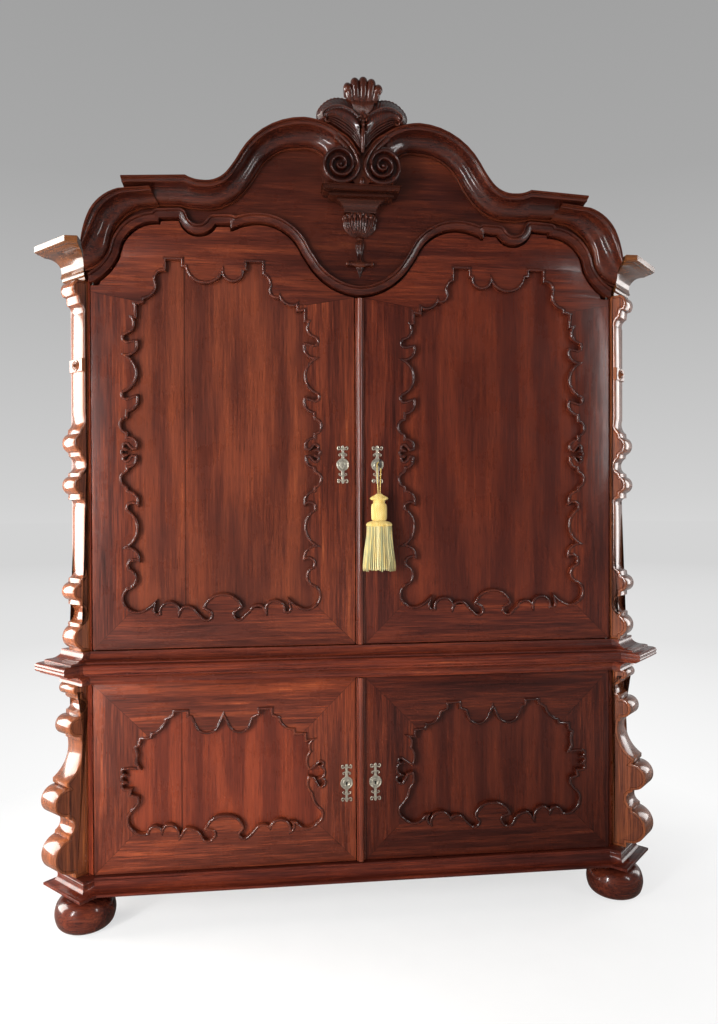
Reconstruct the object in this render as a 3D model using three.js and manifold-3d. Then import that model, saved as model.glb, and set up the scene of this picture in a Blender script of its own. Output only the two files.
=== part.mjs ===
// Double-bodied mahogany kas with a swan-neck pediment, four pivoted doors and canted scroll corners.
// Millimetres, Z up, the front looks along -Y, and X = 0 is the line where the doors meet.
// Depths are first measured back from the doors' front face and moved to the middle of the box at the end.
import * as THREE from "three";
import { mergeVertices } from "three/addons/utils/BufferGeometryUtils.js";
import Module from "manifold-3d";

const wasm = await Module();
wasm.setup();

// Heights: each storey stands on the one below it
const baseBottom = 115;
const baseTall = 46;
const lowerTall = 589;
const waistTall = 101;
const scrollTall = 1128;
const baseTop = baseBottom + baseTall;
const waistBottom = baseTop + lowerTall;
const waistTop = waistBottom + waistTall;
const scrollTop = waistTop + scrollTall;
const wallAbove = 41;
const lineBelow = 29;
const wallTop = scrollTop + wallAbove;
const lineBottom = scrollTop - lineBelow;
const lineTall = 640;

// Plan of the case, worked out from the width of a door
const doorWide = 823.5;
const frontReach = 120;
const backY = 560;
const cornerWide = 77.5;
const caseHalf = doorWide + cornerWide;
const wall = 22;
const scrollThick = 108;
const postLap = 23.5;
const postInner = doorWide - postLap;
const postFront = 30;
const postBack = 102;
const sidePlay = 3;
const postKnee = doorWide + sidePlay;
const gap = 0.3;
const frameFineness = 0.5;
const diagonal = Math.SQRT1_2;
const kneeDepth = 2.5;
const cheekFoot = (postKnee + kneeDepth) * diagonal;
const cantFoot = (postKnee - kneeDepth) * diagonal;

// Doors
const doorThick = 28;
const frameFront = 13;
const panelThick = 10;
const meetX = 14;
const meetGap = 2.5;
const topGap = 7;
const swingPlay = 4;
const backPlay = 1.5;
const hingeEase = 28;
const sillGap = 2.5;
const stepUp = 202;
const upperTall = scrollTall + stepUp;
const panelAxisShare = 0.52338;
const panelAxis = panelAxisShare * doorWide;
const beadHalf = 4.5;
const beadProud = 5;
const pivotIn = 6;
const pinRadius = 3;
const pinBore = 3.4;
const pinReach = 22;

// Colours and finishes
const wood = (colour) => new THREE.MeshStandardMaterial({ color: colour, roughness: 0.35, metalness: 0 });
const caseWood = wood(0x4a1f17);
const doorWood = wood(0x6e3323);
const panelWood = wood(0x84402a);
const carvedWood = wood(0x3d1c17);
const innerWood = wood(0x7a5238);
const brass = new THREE.MeshStandardMaterial({ color: 0xb9b3a4, roughness: 0.35, metalness: 0.9 });
const iron = new THREE.MeshStandardMaterial({ color: 0x4b4846, roughness: 0.5, metalness: 0.8 });
const silk = new THREE.MeshStandardMaterial({ color: 0xcdb981, roughness: 0.75, metalness: 0 });

const cabinet = new THREE.Group();
const depthShift = (frontReach - backY) / 2;

// A geometry becomes a closed body here
function solid(geometry) {
  const bare = geometry.clone();
  bare.deleteAttribute("normal");
  bare.deleteAttribute("uv");
  const merged = mergeVertices(bare);
  return new wasm.Manifold(new wasm.Mesh({
    numProp: 3,
    vertProperties: new Float32Array(merged.attributes.position.array),
    triVerts: new Uint32Array(merged.index.array),
  }));
}

// A closed body becomes a geometry again
function surface(body) {
  const mesh = body.getMesh();
  const geometry = new THREE.BufferGeometry();
  const corners = new Float32Array(mesh.numVert * 3);
  for (let i = 0; i < mesh.numVert; i += 1) {
    for (let k = 0; k < 3; k += 1) {
      corners[3 * i + k] = mesh.vertProperties[mesh.numProp * i + k];
    }
  }
  geometry.setAttribute("position", new THREE.BufferAttribute(corners, 3));
  geometry.setIndex(new THREE.BufferAttribute(new Uint32Array(mesh.triVerts), 1));
  return geometry;
}

function add(name, shape, material) {
  const geometry = (shape.isBufferGeometry ? shape : surface(shape)).clone();
  geometry.translate(0, depthShift, 0);
  geometry.computeVertexNormals();
  const mesh = new THREE.Mesh(geometry, material);
  mesh.name = name;
  cabinet.add(mesh);
}

const union = (list) => wasm.Manifold.union(list);

// The circle through three points gives the arc that an outline row with a middle point stands for
function arcPoints(from, through, to, fewest) {
  const ax = through.x - from.x;
  const ay = through.y - from.y;
  const bx = to.x - from.x;
  const by = to.y - from.y;
  const cross = 2 * (ax * by - ay * bx);
  if (Math.abs(cross) < Number.EPSILON * 1e6) {
    return [to];
  }
  const aa = ax * ax + ay * ay;
  const bb = bx * bx + by * by;
  const cx = from.x + (by * aa - ay * bb) / cross;
  const cy = from.y + (ax * bb - bx * aa) / cross;
  const radius = Math.hypot(from.x - cx, from.y - cy);
  const start = Math.atan2(from.y - cy, from.x - cx);
  const turn = (point) => {
    const sweep = Math.atan2(point.y - cy, point.x - cx) - start;
    return cross > 0 ? (sweep + 4 * Math.PI) % (2 * Math.PI) : -((4 * Math.PI - sweep) % (2 * Math.PI));
  };
  const sweep = turn(to);
  const steps = fewest.fixed ?? Math.max(2, Math.ceil(Math.abs(sweep) / fewest.angle));
  const out = [];
  for (let i = 1; i < steps; i += 1) {
    const angle = start + sweep * i / steps;
    out.push(new THREE.Vector2(cx + radius * Math.cos(angle), cy + radius * Math.sin(angle)));
  }
  out.push(to);
  return out;
}

// A row of two numbers is a straight line to a point, a row of four an arc through one point to the next
function trace(rows, place, fewest) {
  const out = [];
  for (const row of rows) {
    const end = place(row[row.length - 2], row[row.length - 1]);
    if (row.length === 2) {
      out.push(end);
    } else {
      out.push(...arcPoints(out[out.length - 1], place(row[0], row[1]), end, fewest));
    }
  }
  return out;
}

// Run a traced table the other way, so that its mirror image can follow it
function backwards(rows) {
  const out = [];
  for (let i = rows.length - 1; i >= 0; i -= 1) {
    const end = rows[i].slice(-2);
    const next = rows[i + 1];
    out.push(next && next.length === 4 ? [next[0], next[1], ...end] : end);
  }
  return out;
}

const mirrored = (rows) => rows.map((row) => row.map((value, i) => (i % 2 ? value : -value)));

// A frontal plate between two depths, from an outline in X and Z
function plate(outline, near, far) {
  const extent = { depth: far - near, bevelEnabled: false };
  const geometry = new THREE.ExtrudeGeometry(new THREE.Shape(outline), extent);
  geometry.rotateX(Math.PI / 2);
  geometry.translate(0, far, 0);
  return solid(geometry);
}

// A plan outline carried between two heights
function column(outline, low, high) {
  const extent = { depth: high - low, bevelEnabled: false };
  const geometry = new THREE.ExtrudeGeometry(new THREE.Shape(outline), extent);
  geometry.translate(0, 0, low);
  return solid(geometry);
}

function block(x0, x1, y0, y1, z0, z1) {
  const geometry = new THREE.BoxGeometry(x1 - x0, y1 - y0, z1 - z0);
  geometry.translate((x0 + x1) / 2, (y0 + y1) / 2, (z0 + z1) / 2);
  return solid(geometry);
}

function roundBar(radius, facets, axis, centre, low, high) {
  const geometry = new THREE.CylinderGeometry(radius, radius, high - low, facets);
  if (axis === "z") {
    geometry.rotateX(Math.PI / 2);
    geometry.translate(centre[0], centre[1], (low + high) / 2);
  } else {
    geometry.translate(centre[0], (low + high) / 2, centre[1]);
  }
  return solid(geometry);
}

const flip = (body) => body.mirror([1, 0, 0]);

// Skin a row of rings with the same number of corners, and close both ends
function loft(rings) {
  const count = rings[0].length;
  const corners = [];
  const faces = [];
  for (const ring of rings) {
    for (const point of ring) {
      corners.push(point.x, point.y, point.z);
    }
  }
  for (let r = 0; r + 1 < rings.length; r += 1) {
    for (let i = 0; i < count; i += 1) {
      const a = r * count + i;
      const b = r * count + (i + 1) % count;
      faces.push(a, b, a + count, b, b + count, a + count);
    }
  }
  for (const last of [false, true]) {
    const ring = last ? rings[rings.length - 1] : rings[0];
    const first = last ? (rings.length - 1) * count : 0;
    for (const [a, b, c] of capFaces(ring)) {
      faces.push(...(last ? [first + a, first + b, first + c] : [first + a, first + c, first + b]));
    }
  }
  const geometry = new THREE.BufferGeometry();
  geometry.setAttribute("position", new THREE.Float32BufferAttribute(corners, 3));
  geometry.setIndex(faces);
  let volume = 0;
  for (let i = 0; i < faces.length; i += 3) {
    const [a, b, c] = [0, 1, 2].map((k) => new THREE.Vector3().fromArray(corners, 3 * faces[i + k]));
    volume += a.dot(b.cross(c));
  }
  if (volume < 0) {
    for (let i = 0; i < faces.length; i += 3) {
      [faces[i], faces[i + 1]] = [faces[i + 1], faces[i]];
    }
    geometry.setIndex(faces);
  }
  return solid(geometry);
}

// Triangles over a flat ring, wound as the ring runs
function capFaces(ring) {
  const normal = new THREE.Vector3();
  ring.forEach((point, i) => normal.add(point.clone().cross(ring[(i + 1) % ring.length])));
  normal.normalize();
  const across = ring[1].clone().sub(ring[0]);
  across.addScaledVector(normal, -across.dot(normal)).normalize();
  const up = normal.clone().cross(across);
  const flat = ring.map((point) => new THREE.Vector2(point.dot(across), point.dot(up)));
  return THREE.ShapeUtils.triangulateShape(flat, []);
}

// A bead round a closed line in X and Z, mitred at each corner
const sharpest = 0.45;
function beadRound(line, section, half, place) {
  const count = line.length;
  const corners = [];
  const faces = [];
  line.forEach((point, i) => {
    const before = point.clone().sub(line[(i + count - 1) % count]).normalize();
    const after = line[(i + 1) % count].clone().sub(point).normalize();
    const side = new THREE.Vector2(-before.y - after.y, before.x + after.x).normalize();
    const square = Math.max(sharpest, Math.sqrt((1 + before.dot(after)) / 2));
    side.multiplyScalar(half / square);
    for (const [across, depth] of section) {
      corners.push(point.x + side.x * across, place(depth), point.y + side.y * across);
    }
  });
  const row = section.length;
  for (let i = 0; i < count; i += 1) {
    for (let k = 0; k < row; k += 1) {
      const [a, b] = [i * row + k, i * row + (k + 1) % row];
      const [c, d] = [a, b].map((index) => (index + row) % (count * row));
      faces.push(a, b, c, b, d, c);
    }
  }
  if (THREE.ShapeUtils.area(line) > 0) {
    faces.reverse();
  }
  const geometry = new THREE.BufferGeometry();
  geometry.setAttribute("position", new THREE.Float32BufferAttribute(corners, 3));
  geometry.setIndex(faces);
  return solid(geometry);
}

// A wide raised band along an open line: one prism for each straight piece, long enough to close each corner
function bandAlong(line, section, half, place) {
  const prisms = [];
  const count = line.length;
  const heading = (i) => Math.atan2(line[i + 1].y - line[i].y, line[i + 1].x - line[i].x);
  const overlap = (i) => {
    if (i === 0 || i === count - 1) {
      return 0;
    }
    const change = heading(i) - heading(i - 1);
    const turn = Math.abs(Math.atan2(Math.sin(change), Math.cos(change)));
    return Math.min(half, half * Math.tan(Math.min(turn, Math.PI / 2) / 2));
  };
  for (let i = 0; i + 1 < count; i += 1) {
    const from = line[i];
    const to = line[i + 1];
    const along = to.clone().sub(from);
    const length = along.length();
    along.normalize();
    const side = new THREE.Vector2(-along.y, along.x);
    const start = from.clone().addScaledVector(along, -overlap(i));
    const end = from.clone().addScaledVector(along, length + overlap(i + 1));
    const ring = (centre) => section.map(([across, depth]) => new THREE.Vector3(
      centre.x + side.x * across * half,
      place(depth),
      centre.y + side.y * across * half,
    ));
    prisms.push(loft([ring(start), ring(end)]));
  }
  return union(prisms);
}

// Outlines of the upper door's opening, as shares of the door's width and of the upper unit's height
const upperSideShares = [
  [0.3145, 0.7955], [0.3145, 0.7677], [0.3291, 0.7677], [0.323, 0.7474, 0.3485, 0.7308],
  [0.3631, 0.7218, 0.3412, 0.7105], [0.3121, 0.7143], [0.3145, 0.694, 0.3607, 0.6812],
  [0.3133, 0.6414, 0.3607, 0.597], [0.3667, 0.588, 0.3449, 0.5797], [0.3121, 0.5872],
  [0.3157, 0.5639, 0.3485, 0.5519], [0.3497, 0.5376], [0.3631, 0.5346], [0.374, 0.518, 0.3497, 0.5015],
  [0.3497, 0.4902], [0.3206, 0.4857, 0.3157, 0.4662], [0.3303, 0.4647], [0.3449, 0.4767],
  [0.3631, 0.4714, 0.3509, 0.4632], [0.3692, 0.4571, 0.3509, 0.4504], [0.3631, 0.4436, 0.3449, 0.4368],
  [0.3303, 0.4496], [0.3157, 0.4481], [0.3206, 0.4316, 0.3473, 0.4226], [0.3497, 0.4135],
  [0.3631, 0.4083], [0.3728, 0.394, 0.3509, 0.3767], [0.3485, 0.3669],
  [0.3206, 0.3594, 0.3109, 0.3361], [0.3303, 0.3406, 0.3497, 0.3331], [0.3509, 0.3233],
  [0.3121, 0.2782, 0.3607, 0.2361], [0.3182, 0.2271, 0.3072, 0.2068], [0.3303, 0.209, 0.3485, 0.1955],
  [0.3449, 0.1865], [0.3182, 0.1639, 0.3485, 0.1414], [0.3679, 0.1173, 0.3461, 0.094],
  [0.3254, 0.0872, 0.2963, 0.0887],
];
const upperBottomShares = [
  [0.2769, 0.0947, 0.2477, 0.1105], [0.255, 0.0917], [0.2502, 0.0835, 0.2319, 0.082],
  [0.1967, 0.109, 0.1627, 0.0782], [0.1384, 0.0985, 0.102, 0.0865], [0.0753, 0.0707],
  [0.0449, 0.0692, 0.0498, 0.0872], [0.0704, 0.0947], [0, 0.1256, -0.0704, 0.0947],
];
const upperTopShares = [
  [0.8415, 0.7985], [0.8148, 0.803], [0.8136, 0.8113], [0.8027, 0.8135],
  [0.7735, 0.8271, 0.7687, 0.8526], [0.7602, 0.8729, 0.7322, 0.8782], [0.7322, 0.9053],
  [0.6667, 0.9053], [0.6667, 0.8887], [0.6521, 0.888], [0.5804, 0.8519, 0.5173, 0.885],
  [0.4833, 0.8571, 0.4444, 0.8842], [0.4335, 0.885], [0.4335, 0.9053], [0.3655, 0.9053],
  [0.3655, 0.8752], [0.3437, 0.8639, 0.3424, 0.8436], [0.3303, 0.8241, 0.306, 0.8218],
  [0.3048, 0.8271], [0.2805, 0.8075, 0.2489, 0.8045], [0.238, 0.809], [0.2368, 0.7917],
];

// The lower door's opening, as shares of the door's width and of the lower unit's height
const lowerPanelShares = [
  [0.8306, 0.708], [0.7905, 0.7097], [0.7881, 0.7301], [0.7505, 0.7606, 0.7347, 0.8048],
  [0.708, 0.8234], [0.7067, 0.8472], [0.6557, 0.8472], [0.6557, 0.8166], [0.6424, 0.8149],
  [0.6217, 0.7504], [0.5817, 0.725, 0.5428, 0.7572], [0.5222, 0.8183], [0.5015, 0.7572],
  [0.4627, 0.7233, 0.4262, 0.7521], [0.4141, 0.8014], [0.391, 0.8115], [0.3898, 0.8455],
  [0.3412, 0.8455], [0.3412, 0.8098], [0.3133, 0.7946], [0.2951, 0.747, 0.2574, 0.7301],
  [0.255, 0.7046], [0.2137, 0.7029], [0.2125, 0.6621], [0.1785, 0.674],
  [0.1979, 0.6452, 0.1943, 0.6061], [0.2089, 0.5637, 0.2016, 0.5127], [0.1846, 0.5229],
  [0.1651, 0.545], [0.1457, 0.5416, 0.1615, 0.5229], [0.1409, 0.4822, 0.1615, 0.4584],
  [0.1384, 0.4346, 0.1651, 0.4143], [0.1821, 0.4618], [0.2004, 0.4686],
  [0.2064, 0.4278, 0.1906, 0.3837], [0.1821, 0.3396, 0.1627, 0.3005], [0.1481, 0.2581, 0.1676, 0.2207],
  [0.1967, 0.1935, 0.2514, 0.2275], [0.2647, 0.2326], [0.2587, 0.2037, 0.2732, 0.1783],
  [0.3206, 0.2445, 0.3509, 0.2054], [0.3837, 0.2224, 0.4068, 0.1969], [0.4335, 0.1613],
  [0.4529, 0.1545, 0.4675, 0.1851], [0.4517, 0.2122], [0.4736, 0.2632, 0.5161, 0.2818],
  [0.5622, 0.2683, 0.5914, 0.2173], [0.5719, 0.2122], [0.5562, 0.1935, 0.561, 0.1681],
  [0.5829, 0.1494, 0.6072, 0.1783], [0.6351, 0.2156, 0.6618, 0.2241], [0.6752, 0.2054],
  [0.6885, 0.1749], [0.6946, 0.2156, 0.7165, 0.2462], [0.7407, 0.2411, 0.7529, 0.2088],
  [0.7772, 0.2428, 0.8039, 0.2071], [0.8306, 0.2037, 0.8549, 0.2224], [0.8767, 0.2666, 0.8537, 0.3413],
  [0.8367, 0.3752], [0.8403, 0.4024], [0.8695, 0.4126], [0.8646, 0.4448], [0.8852, 0.4431],
  [0.8986, 0.4618, 0.8828, 0.4805], [0.8998, 0.4992, 0.8828, 0.5178], [0.8986, 0.5365, 0.8828, 0.5535],
  [0.8646, 0.5552], [0.833, 0.5501], [0.8464, 0.5823], [0.8403, 0.6231], [0.8476, 0.6621],
  [0.833, 0.6757],
];

// The pediment's lines, as shares of half the front and of the pediment's height
const endPlay = 1;
const pedimentHalf = caseHalf - endPlay;
const doorTopShares = [
  [0.9333, 0.0412], [0.9209, 0.0364, 0.89, 0.0524], [0.8501, 0.1038, 0.8204, 0.1745],
  [0.7895, 0.274, 0.6868, 0.3351], [0.6868, 0.3511], [0.6194, 0.3575],
  [0.5532, 0.2837, 0.4984, 0.3335], [0.4458, 0.3367], [0.4447, 0.3126],
  [0.399, 0.3399, 0.3522, 0.3495], [0.2494, 0.2997, 0.2026, 0.2098], [0.1741, 0.1488],
  [0.101, 0.0524, 0, 0.0091],
];
const outerCrownLowShares = [
  [0.9289, 0.0844], [0.8778, 0.1172, 0.8448, 0.1987], [0.8152, 0.3109, 0.7445, 0.3847],
  [0.6829, 0.3975],
];
const outerCrownHighShares = [
  [0.9227, 0.2031], [0.9122, 0.2734, 0.8956, 0.3328], [0.8578, 0.3969, 0.8044, 0.4359], [0.7057, 0.4516],
];
const crownLowShares = [
  [0.7388, 0.4007], [0.6133, 0.4039], [0.5757, 0.3943, 0.5369, 0.3911],
  [0.4536, 0.4168, 0.4046, 0.4713], [0.3749, 0.5258, 0.3476, 0.59], [0.2974, 0.667, 0.2062, 0.7038],
  [0.1583, 0.699, 0.1244, 0.65], [0.1022, 0.6719, 0.0711, 0.6828], [0.0467, 0.6734, 0.0244, 0.65],
];
const crownHighShares = [
  [0.7955, 0.4922], [0.5889, 0.5078], [0.5622, 0.4925, 0.5347, 0.4875], [0.4856, 0.4989, 0.4547, 0.5312],
  [0.4328, 0.5719, 0.4098, 0.625], [0.333, 0.7406, 0.1961, 0.8031],
  [0.1292, 0.7938, 0.0711, 0.7422], [0.0503, 0.7359, 0.0307, 0.7047], [0.014, 0.6734, 0.0084, 0.6422],
];

// Profiles of the corner scrolls, as shares of the scroll's thickness and of its height
const scrollLift = 3;
const upperScrollShares = [
  [0.2778, 1], [0.4537, 0.977, 0.3889, 0.9583], [0.287, 0.9566], [0.2593, 0.9371],
  [0.1389, 0.9273, 0.1296, 0.9087], [0.1296, 0.6418], [0.1389, 0.6144, 0.25, 0.6002], [0.2685, 0.5878],
  [0.4352, 0.5638, 0.2778, 0.539], [0.25, 0.5372], [0.2315, 0.5275], [0.0926, 0.5053, 0.2315, 0.4832],
  [0.2593, 0.4814], [0.2685, 0.4725], [0.4444, 0.4486, 0.2778, 0.4255], [0.2593, 0.4246],
  [0.2593, 0.4105], [0.1296, 0.4051, 0.1204, 0.3892], [0.1204, 0.2207],
  [0.1389, 0.2074, 0.2685, 0.1968], [0.287, 0.1853], [0.4815, 0.1622, 0.2963, 0.1383],
  [0.2778, 0.1374], [0.2778, 0.1259], [0.1019, 0.1002, 0.287, 0.0771], [0.2963, 0.0762],
  [0.2963, 0.0665], [0.4722, 0.0417, 0.2778, 0.0089], [0.2593, 0],
];
const lowerScrollShares = [
  [0.2593, 1], [0.4074, 0.9728, 0.3333, 0.9457], [0.213, 0.944], [0.213, 0.927], [0.1667, 0.9151],
  [0.037, 0.8829, 0.1944, 0.8506], [0.2037, 0.8302], [0.537, 0.7793, 0.287, 0.7284], [0.213, 0.725],
  [0.213, 0.7063], [0.1574, 0.6995], [0.1944, 0.5993, 0.6204, 0.5076], [0.6204, 0.4873],
  [0.5648, 0.4754], [0.9815, 0.4007, 0.6019, 0.3328], [0.5833, 0.3192],
  [0.3981, 0.2733, 0.5648, 0.2292], [0.5741, 0.2139], [0.9815, 0.1273, 0.5648, 0.0323],
  [0.3981, 0.0289], [0.3796, 0],
];

const coarse = { angle: Math.PI / 2.2 };
const medium = { angle: Math.PI / 4 };

// Bun feet, turned
const footRadius = 90;
const footFlat = 46;
const footShares = [
  [0, 0], [0.58, 0], [0.92, 0.1, 1, 0.42], [0.94, 0.76, 0.55, 0.86], [0.5, 0.87],
  [0.62, 0.9], [0.62, 0.96], [0.5, 0.97], [0.5, 1], [0, 1],
];
const footFrontIn = 45;
const footBackIn = 111;
const footFrontX = caseHalf - footFrontIn;
const footFrontY = 29;
const footBackX = caseHalf - footBackIn;
const footBackY = 462;
const footSpots = [
  ["foot_front_left", -footFrontX, footFrontY],
  ["foot_front_right", footFrontX, footFrontY],
  ["foot_back_left", -footBackX, footBackY],
  ["foot_back_right", footBackX, footBackY],
];
for (const [name, x, y] of footSpots) {
  const footPlace = (r, h) => new THREE.Vector2(r * footRadius, h * (baseBottom - gap));
  const profile = trace(footShares, footPlace, coarse);
  const turned = new THREE.LatheGeometry(profile, 14);
  turned.rotateX(Math.PI / 2);
  turned.translate(x, y, 0);
  add(name, solid(turned), carvedWood);
}

// A moulding that runs along the sides and the front and breaks forward round each corner scroll.
// Each section row is a reach in front of the case and a height.
const blockSides = 2;
function planCorners(reach, block) {
  const middle = cheekFoot + scrollThick / 2;
  const halfBlock = scrollThick / 2 + blockSides + reach * block.spread;
  const front = cantFoot + block.lift + reach * block.forward;
  const corner = (along, out) => [(along + out) * diagonal, (along - out) * diagonal];
  const inner = (middle - halfBlock) / diagonal;
  const outer = (middle + halfBlock) / diagonal;
  return [
    [inner + reach, -reach],
    corner(middle - halfBlock, front),
    corner(middle + halfBlock, front),
    [caseHalf + reach, outer - caseHalf - reach],
    [caseHalf + reach, backY],
  ];
}
const rim = 30;
const rimPlay = 1;
const rimFront = new THREE.Vector2(postInner + rimPlay, postFront);
const rimSide = new THREE.Vector2(caseHalf - rim, postBack - rimPlay);
const innerCorners = [0, 1 / 3, 2 / 3, 1].map((share) => rimFront.clone().lerp(rimSide, share).toArray());
innerCorners.push([caseHalf - rim, backY]);
const backOfRun = -1;
function runRound(shares, reach, low, high, block) {
  const place = (out, up) => new THREE.Vector2(out * reach, low + up * (high - low));
  const section = trace(shares, place, medium);
  const rows = [new THREE.Vector2(backOfRun, low), ...section, new THREE.Vector2(backOfRun, high)];
  const columns = rows.map(({ x, y }) => {
    const corners = x < 0 ? innerCorners : planCorners(x, block);
    const left = corners.slice().reverse().map(([a, b]) => new THREE.Vector3(-a, b, y));
    return left.concat(corners.map(([a, b]) => new THREE.Vector3(a, b, y)));
  });
  return loft(columns[0].map((_, i) => columns.map((points) => points[i])));
}

const baseReach = 46;
const baseBlock = { lift: 30, spread: 1, forward: 1 };
const baseShares = [
  [1, 0], [1, 0.174], [0.935, 0.217], [0.435, 0.391, 0.348, 0.804], [0.304, 0.87], [0.304, 1],
];
const shelfThick = 20;
const boardThick = 30;
const boardHalf = caseHalf - wall;
const bottomBoard = block(-boardHalf, boardHalf, wall, backY - gap, baseBottom, baseBottom + boardThick);
const pivots = [1, -1].map((side) => [side * (doorWide - pivotIn), pivotIn]);
const pinDepth = 20;
const over = 1;
const drill = (body, low, high) => pivots.reduce(
  (rest, at) => rest.subtract(roundBar(pinRadius + gap, 12, "z", at, low, high)),
  body,
);
const basePlinth = union([runRound(baseShares, baseReach, baseBottom, baseTop, baseBlock), bottomBoard]);
add("base_plinth", drill(basePlinth, baseTop - pinDepth - gap, baseTop + over), caseWood);

const waistReach = 50;
const waistBlock = { lift: 20, spread: 0.92, forward: 1.75 };
const waistShares = [
  [0.24, 0], [0.32, 0.2376, 0.76, 0.3267], [0.86, 0.3366], [0.86, 0.3663], [1, 0.4059, 1, 0.5149],
  [1, 0.6238, 0.86, 0.6634], [0.72, 0.6733], [0.72, 0.7129], [0.64, 0.7327],
  [0.26, 0.802, 0.16, 0.9703], [0.16, 1],
];
const waistRun = runRound(waistShares, waistReach, waistBottom, waistTop, waistBlock);
add("waist_moulding", drill(waistRun, waistBottom - over, waistTop + over), caseWood);

// Case walls, each with the post that the corner scroll stands on
const cantLine = (x) => x - (cantFoot - gap) / diagonal;
function wallPlan(side) {
  return [
    [postKnee, cantLine(postKnee)],
    [caseHalf, cantLine(caseHalf)],
    [caseHalf, backY],
    [caseHalf - wall, backY],
    [caseHalf - wall, postBack],
    [postInner, postBack],
    [postInner, postFront],
    [postKnee, postFront],
  ].map(([x, y]) => new THREE.Vector2(side * x, y));
}
for (const [label, side] of [["left", -1], ["right", 1]]) {
  add(`lower_side_${label}`, column(wallPlan(side), baseTop + gap, waistBottom - gap), caseWood);
  add(`upper_side_${label}`, column(wallPlan(side), waistTop + gap, wallTop - gap), caseWood);
}
const insideHalf = caseHalf - wall - gap;
const backThick = 14;
const backFace = backY - backThick;
const deckLift = 38;
const deckLow = waistBottom + deckLift;
const deckThick = 22;
const deckSide = caseHalf - rim - gap;
const lowerBack = block(-insideHalf, insideHalf, backFace, backY, baseTop + gap, waistBottom - gap);
const lowerLap = block(-deckSide, deckSide, backFace, backY, baseTop + over, deckLow - gap);
add("lower_back", union([lowerBack, lowerLap]), innerWood);
const deckRight = [
  [rimFront.x - gap, rimFront.y + gap],
  [deckSide, rimSide.y + gap],
  [deckSide, backY],
].map(([x, y]) => new THREE.Vector2(x, y));
const deckLeft = deckRight.slice().reverse().map((point) => new THREE.Vector2(-point.x, point.y));
add("deck", column([...deckRight, ...deckLeft], deckLow, deckLow + deckThick), innerWood);
const lowerShelfLift = 285;
const firstShelfLift = 389;
const secondShelfLift = 789;
const shelfHeights = {
  lower_shelf: baseTop + lowerShelfLift,
  upper_shelf_low: waistTop + firstShelfLift,
  upper_shelf_high: waistTop + secondShelfLift,
};
for (const [name, height] of Object.entries(shelfHeights)) {
  const shelf = block(-insideHalf, insideHalf, postBack + gap, backFace - gap, height, height + shelfThick);
  add(name, shelf, innerWood);
}

// Corner scrolls: a profile cut in a board that stands at 45 degrees, with a rosette block on the upper ones
function scrollBoard(rows, low, tall) {
  const place = (reach, up) => new THREE.Vector2(scrollLift + reach * scrollThick, low + up * tall);
  const edge = trace(rows, place, medium);
  const outline = [new THREE.Vector2(0, low + tall), ...edge, new THREE.Vector2(0, low)];
  const extent = { depth: scrollThick, bevelEnabled: false };
  const geometry = new THREE.ExtrudeGeometry(new THREE.Shape(outline), extent);
  geometry.applyMatrix4(new THREE.Matrix4().makeBasis(
    new THREE.Vector3(diagonal, -diagonal, 0),
    new THREE.Vector3(0, 0, 1),
    new THREE.Vector3(-diagonal, -diagonal, 0),
  ));
  const along = cheekFoot + scrollThick;
  geometry.translate((along + cantFoot) * diagonal, (along - cantFoot) * diagonal, 0);
  return solid(geometry);
}
const rosetteDown = 256;
const rosetteZ = scrollTop - rosetteDown;
const rosetteHalf = 20;
const rosetteOut = 13;
const rosetteBack = 4;
const rosetteFront = 7;
const bossSize = 18;
const bossShares = [
  [0, 0], [1, 0], [1, 0.56], [0.78, 0.89, 0.56, 0.56], [0.39, 0.94, 0, 1],
];
function rosette() {
  const reach = cantFoot + scrollLift + rosetteOut;
  const middle = cheekFoot + scrollThick / 2;
  const half = scrollThick / 2;
  const plane = (along, out) => [(along + out) * diagonal, (along - out) * diagonal];
  const corners = [[-half, -rosetteBack], [half, -rosetteBack], [half, rosetteFront], [-half, rosetteFront]];
  const outline = corners.map(([along, out]) => new THREE.Vector2(...plane(middle + along, reach + out)));
  const body = column(outline, rosetteZ - rosetteHalf, rosetteZ + rosetteHalf);
  const profile = trace(bossShares, (r, h) => new THREE.Vector2(r * bossSize, h * bossSize), medium);
  const boss = new THREE.LatheGeometry(profile, 12);
  boss.rotateZ(-Math.PI / 2);
  boss.rotateZ(-Math.PI / 4);
  const [x, y] = plane(middle, reach);
  boss.translate(x, y, rosetteZ);
  return [body, solid(boss)];
}
const upperBoard = scrollBoard(upperScrollShares, waistTop + gap, scrollTop - waistTop - 2 * gap);
const upperScroll = union([upperBoard, ...rosette()]);
const lowerScroll = scrollBoard(lowerScrollShares, baseTop + gap, waistBottom - baseTop - 2 * gap);
add("upper_scroll_right", upperScroll, caseWood);
add("upper_scroll_left", flip(upperScroll), caseWood);
add("lower_scroll_right", lowerScroll, caseWood);
add("lower_scroll_left", flip(lowerScroll), caseWood);

// The line over the doors, from one end of the front to the other
const pedimentPlace = (x, z) => new THREE.Vector2(x * pedimentHalf, lineBottom + z * lineTall);
const doorLineRows = [...mirrored(doorTopShares), ...backwards(doorTopShares).slice(1)];
const doorLine = trace(doorLineRows, pedimentPlace, coarse);

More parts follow.
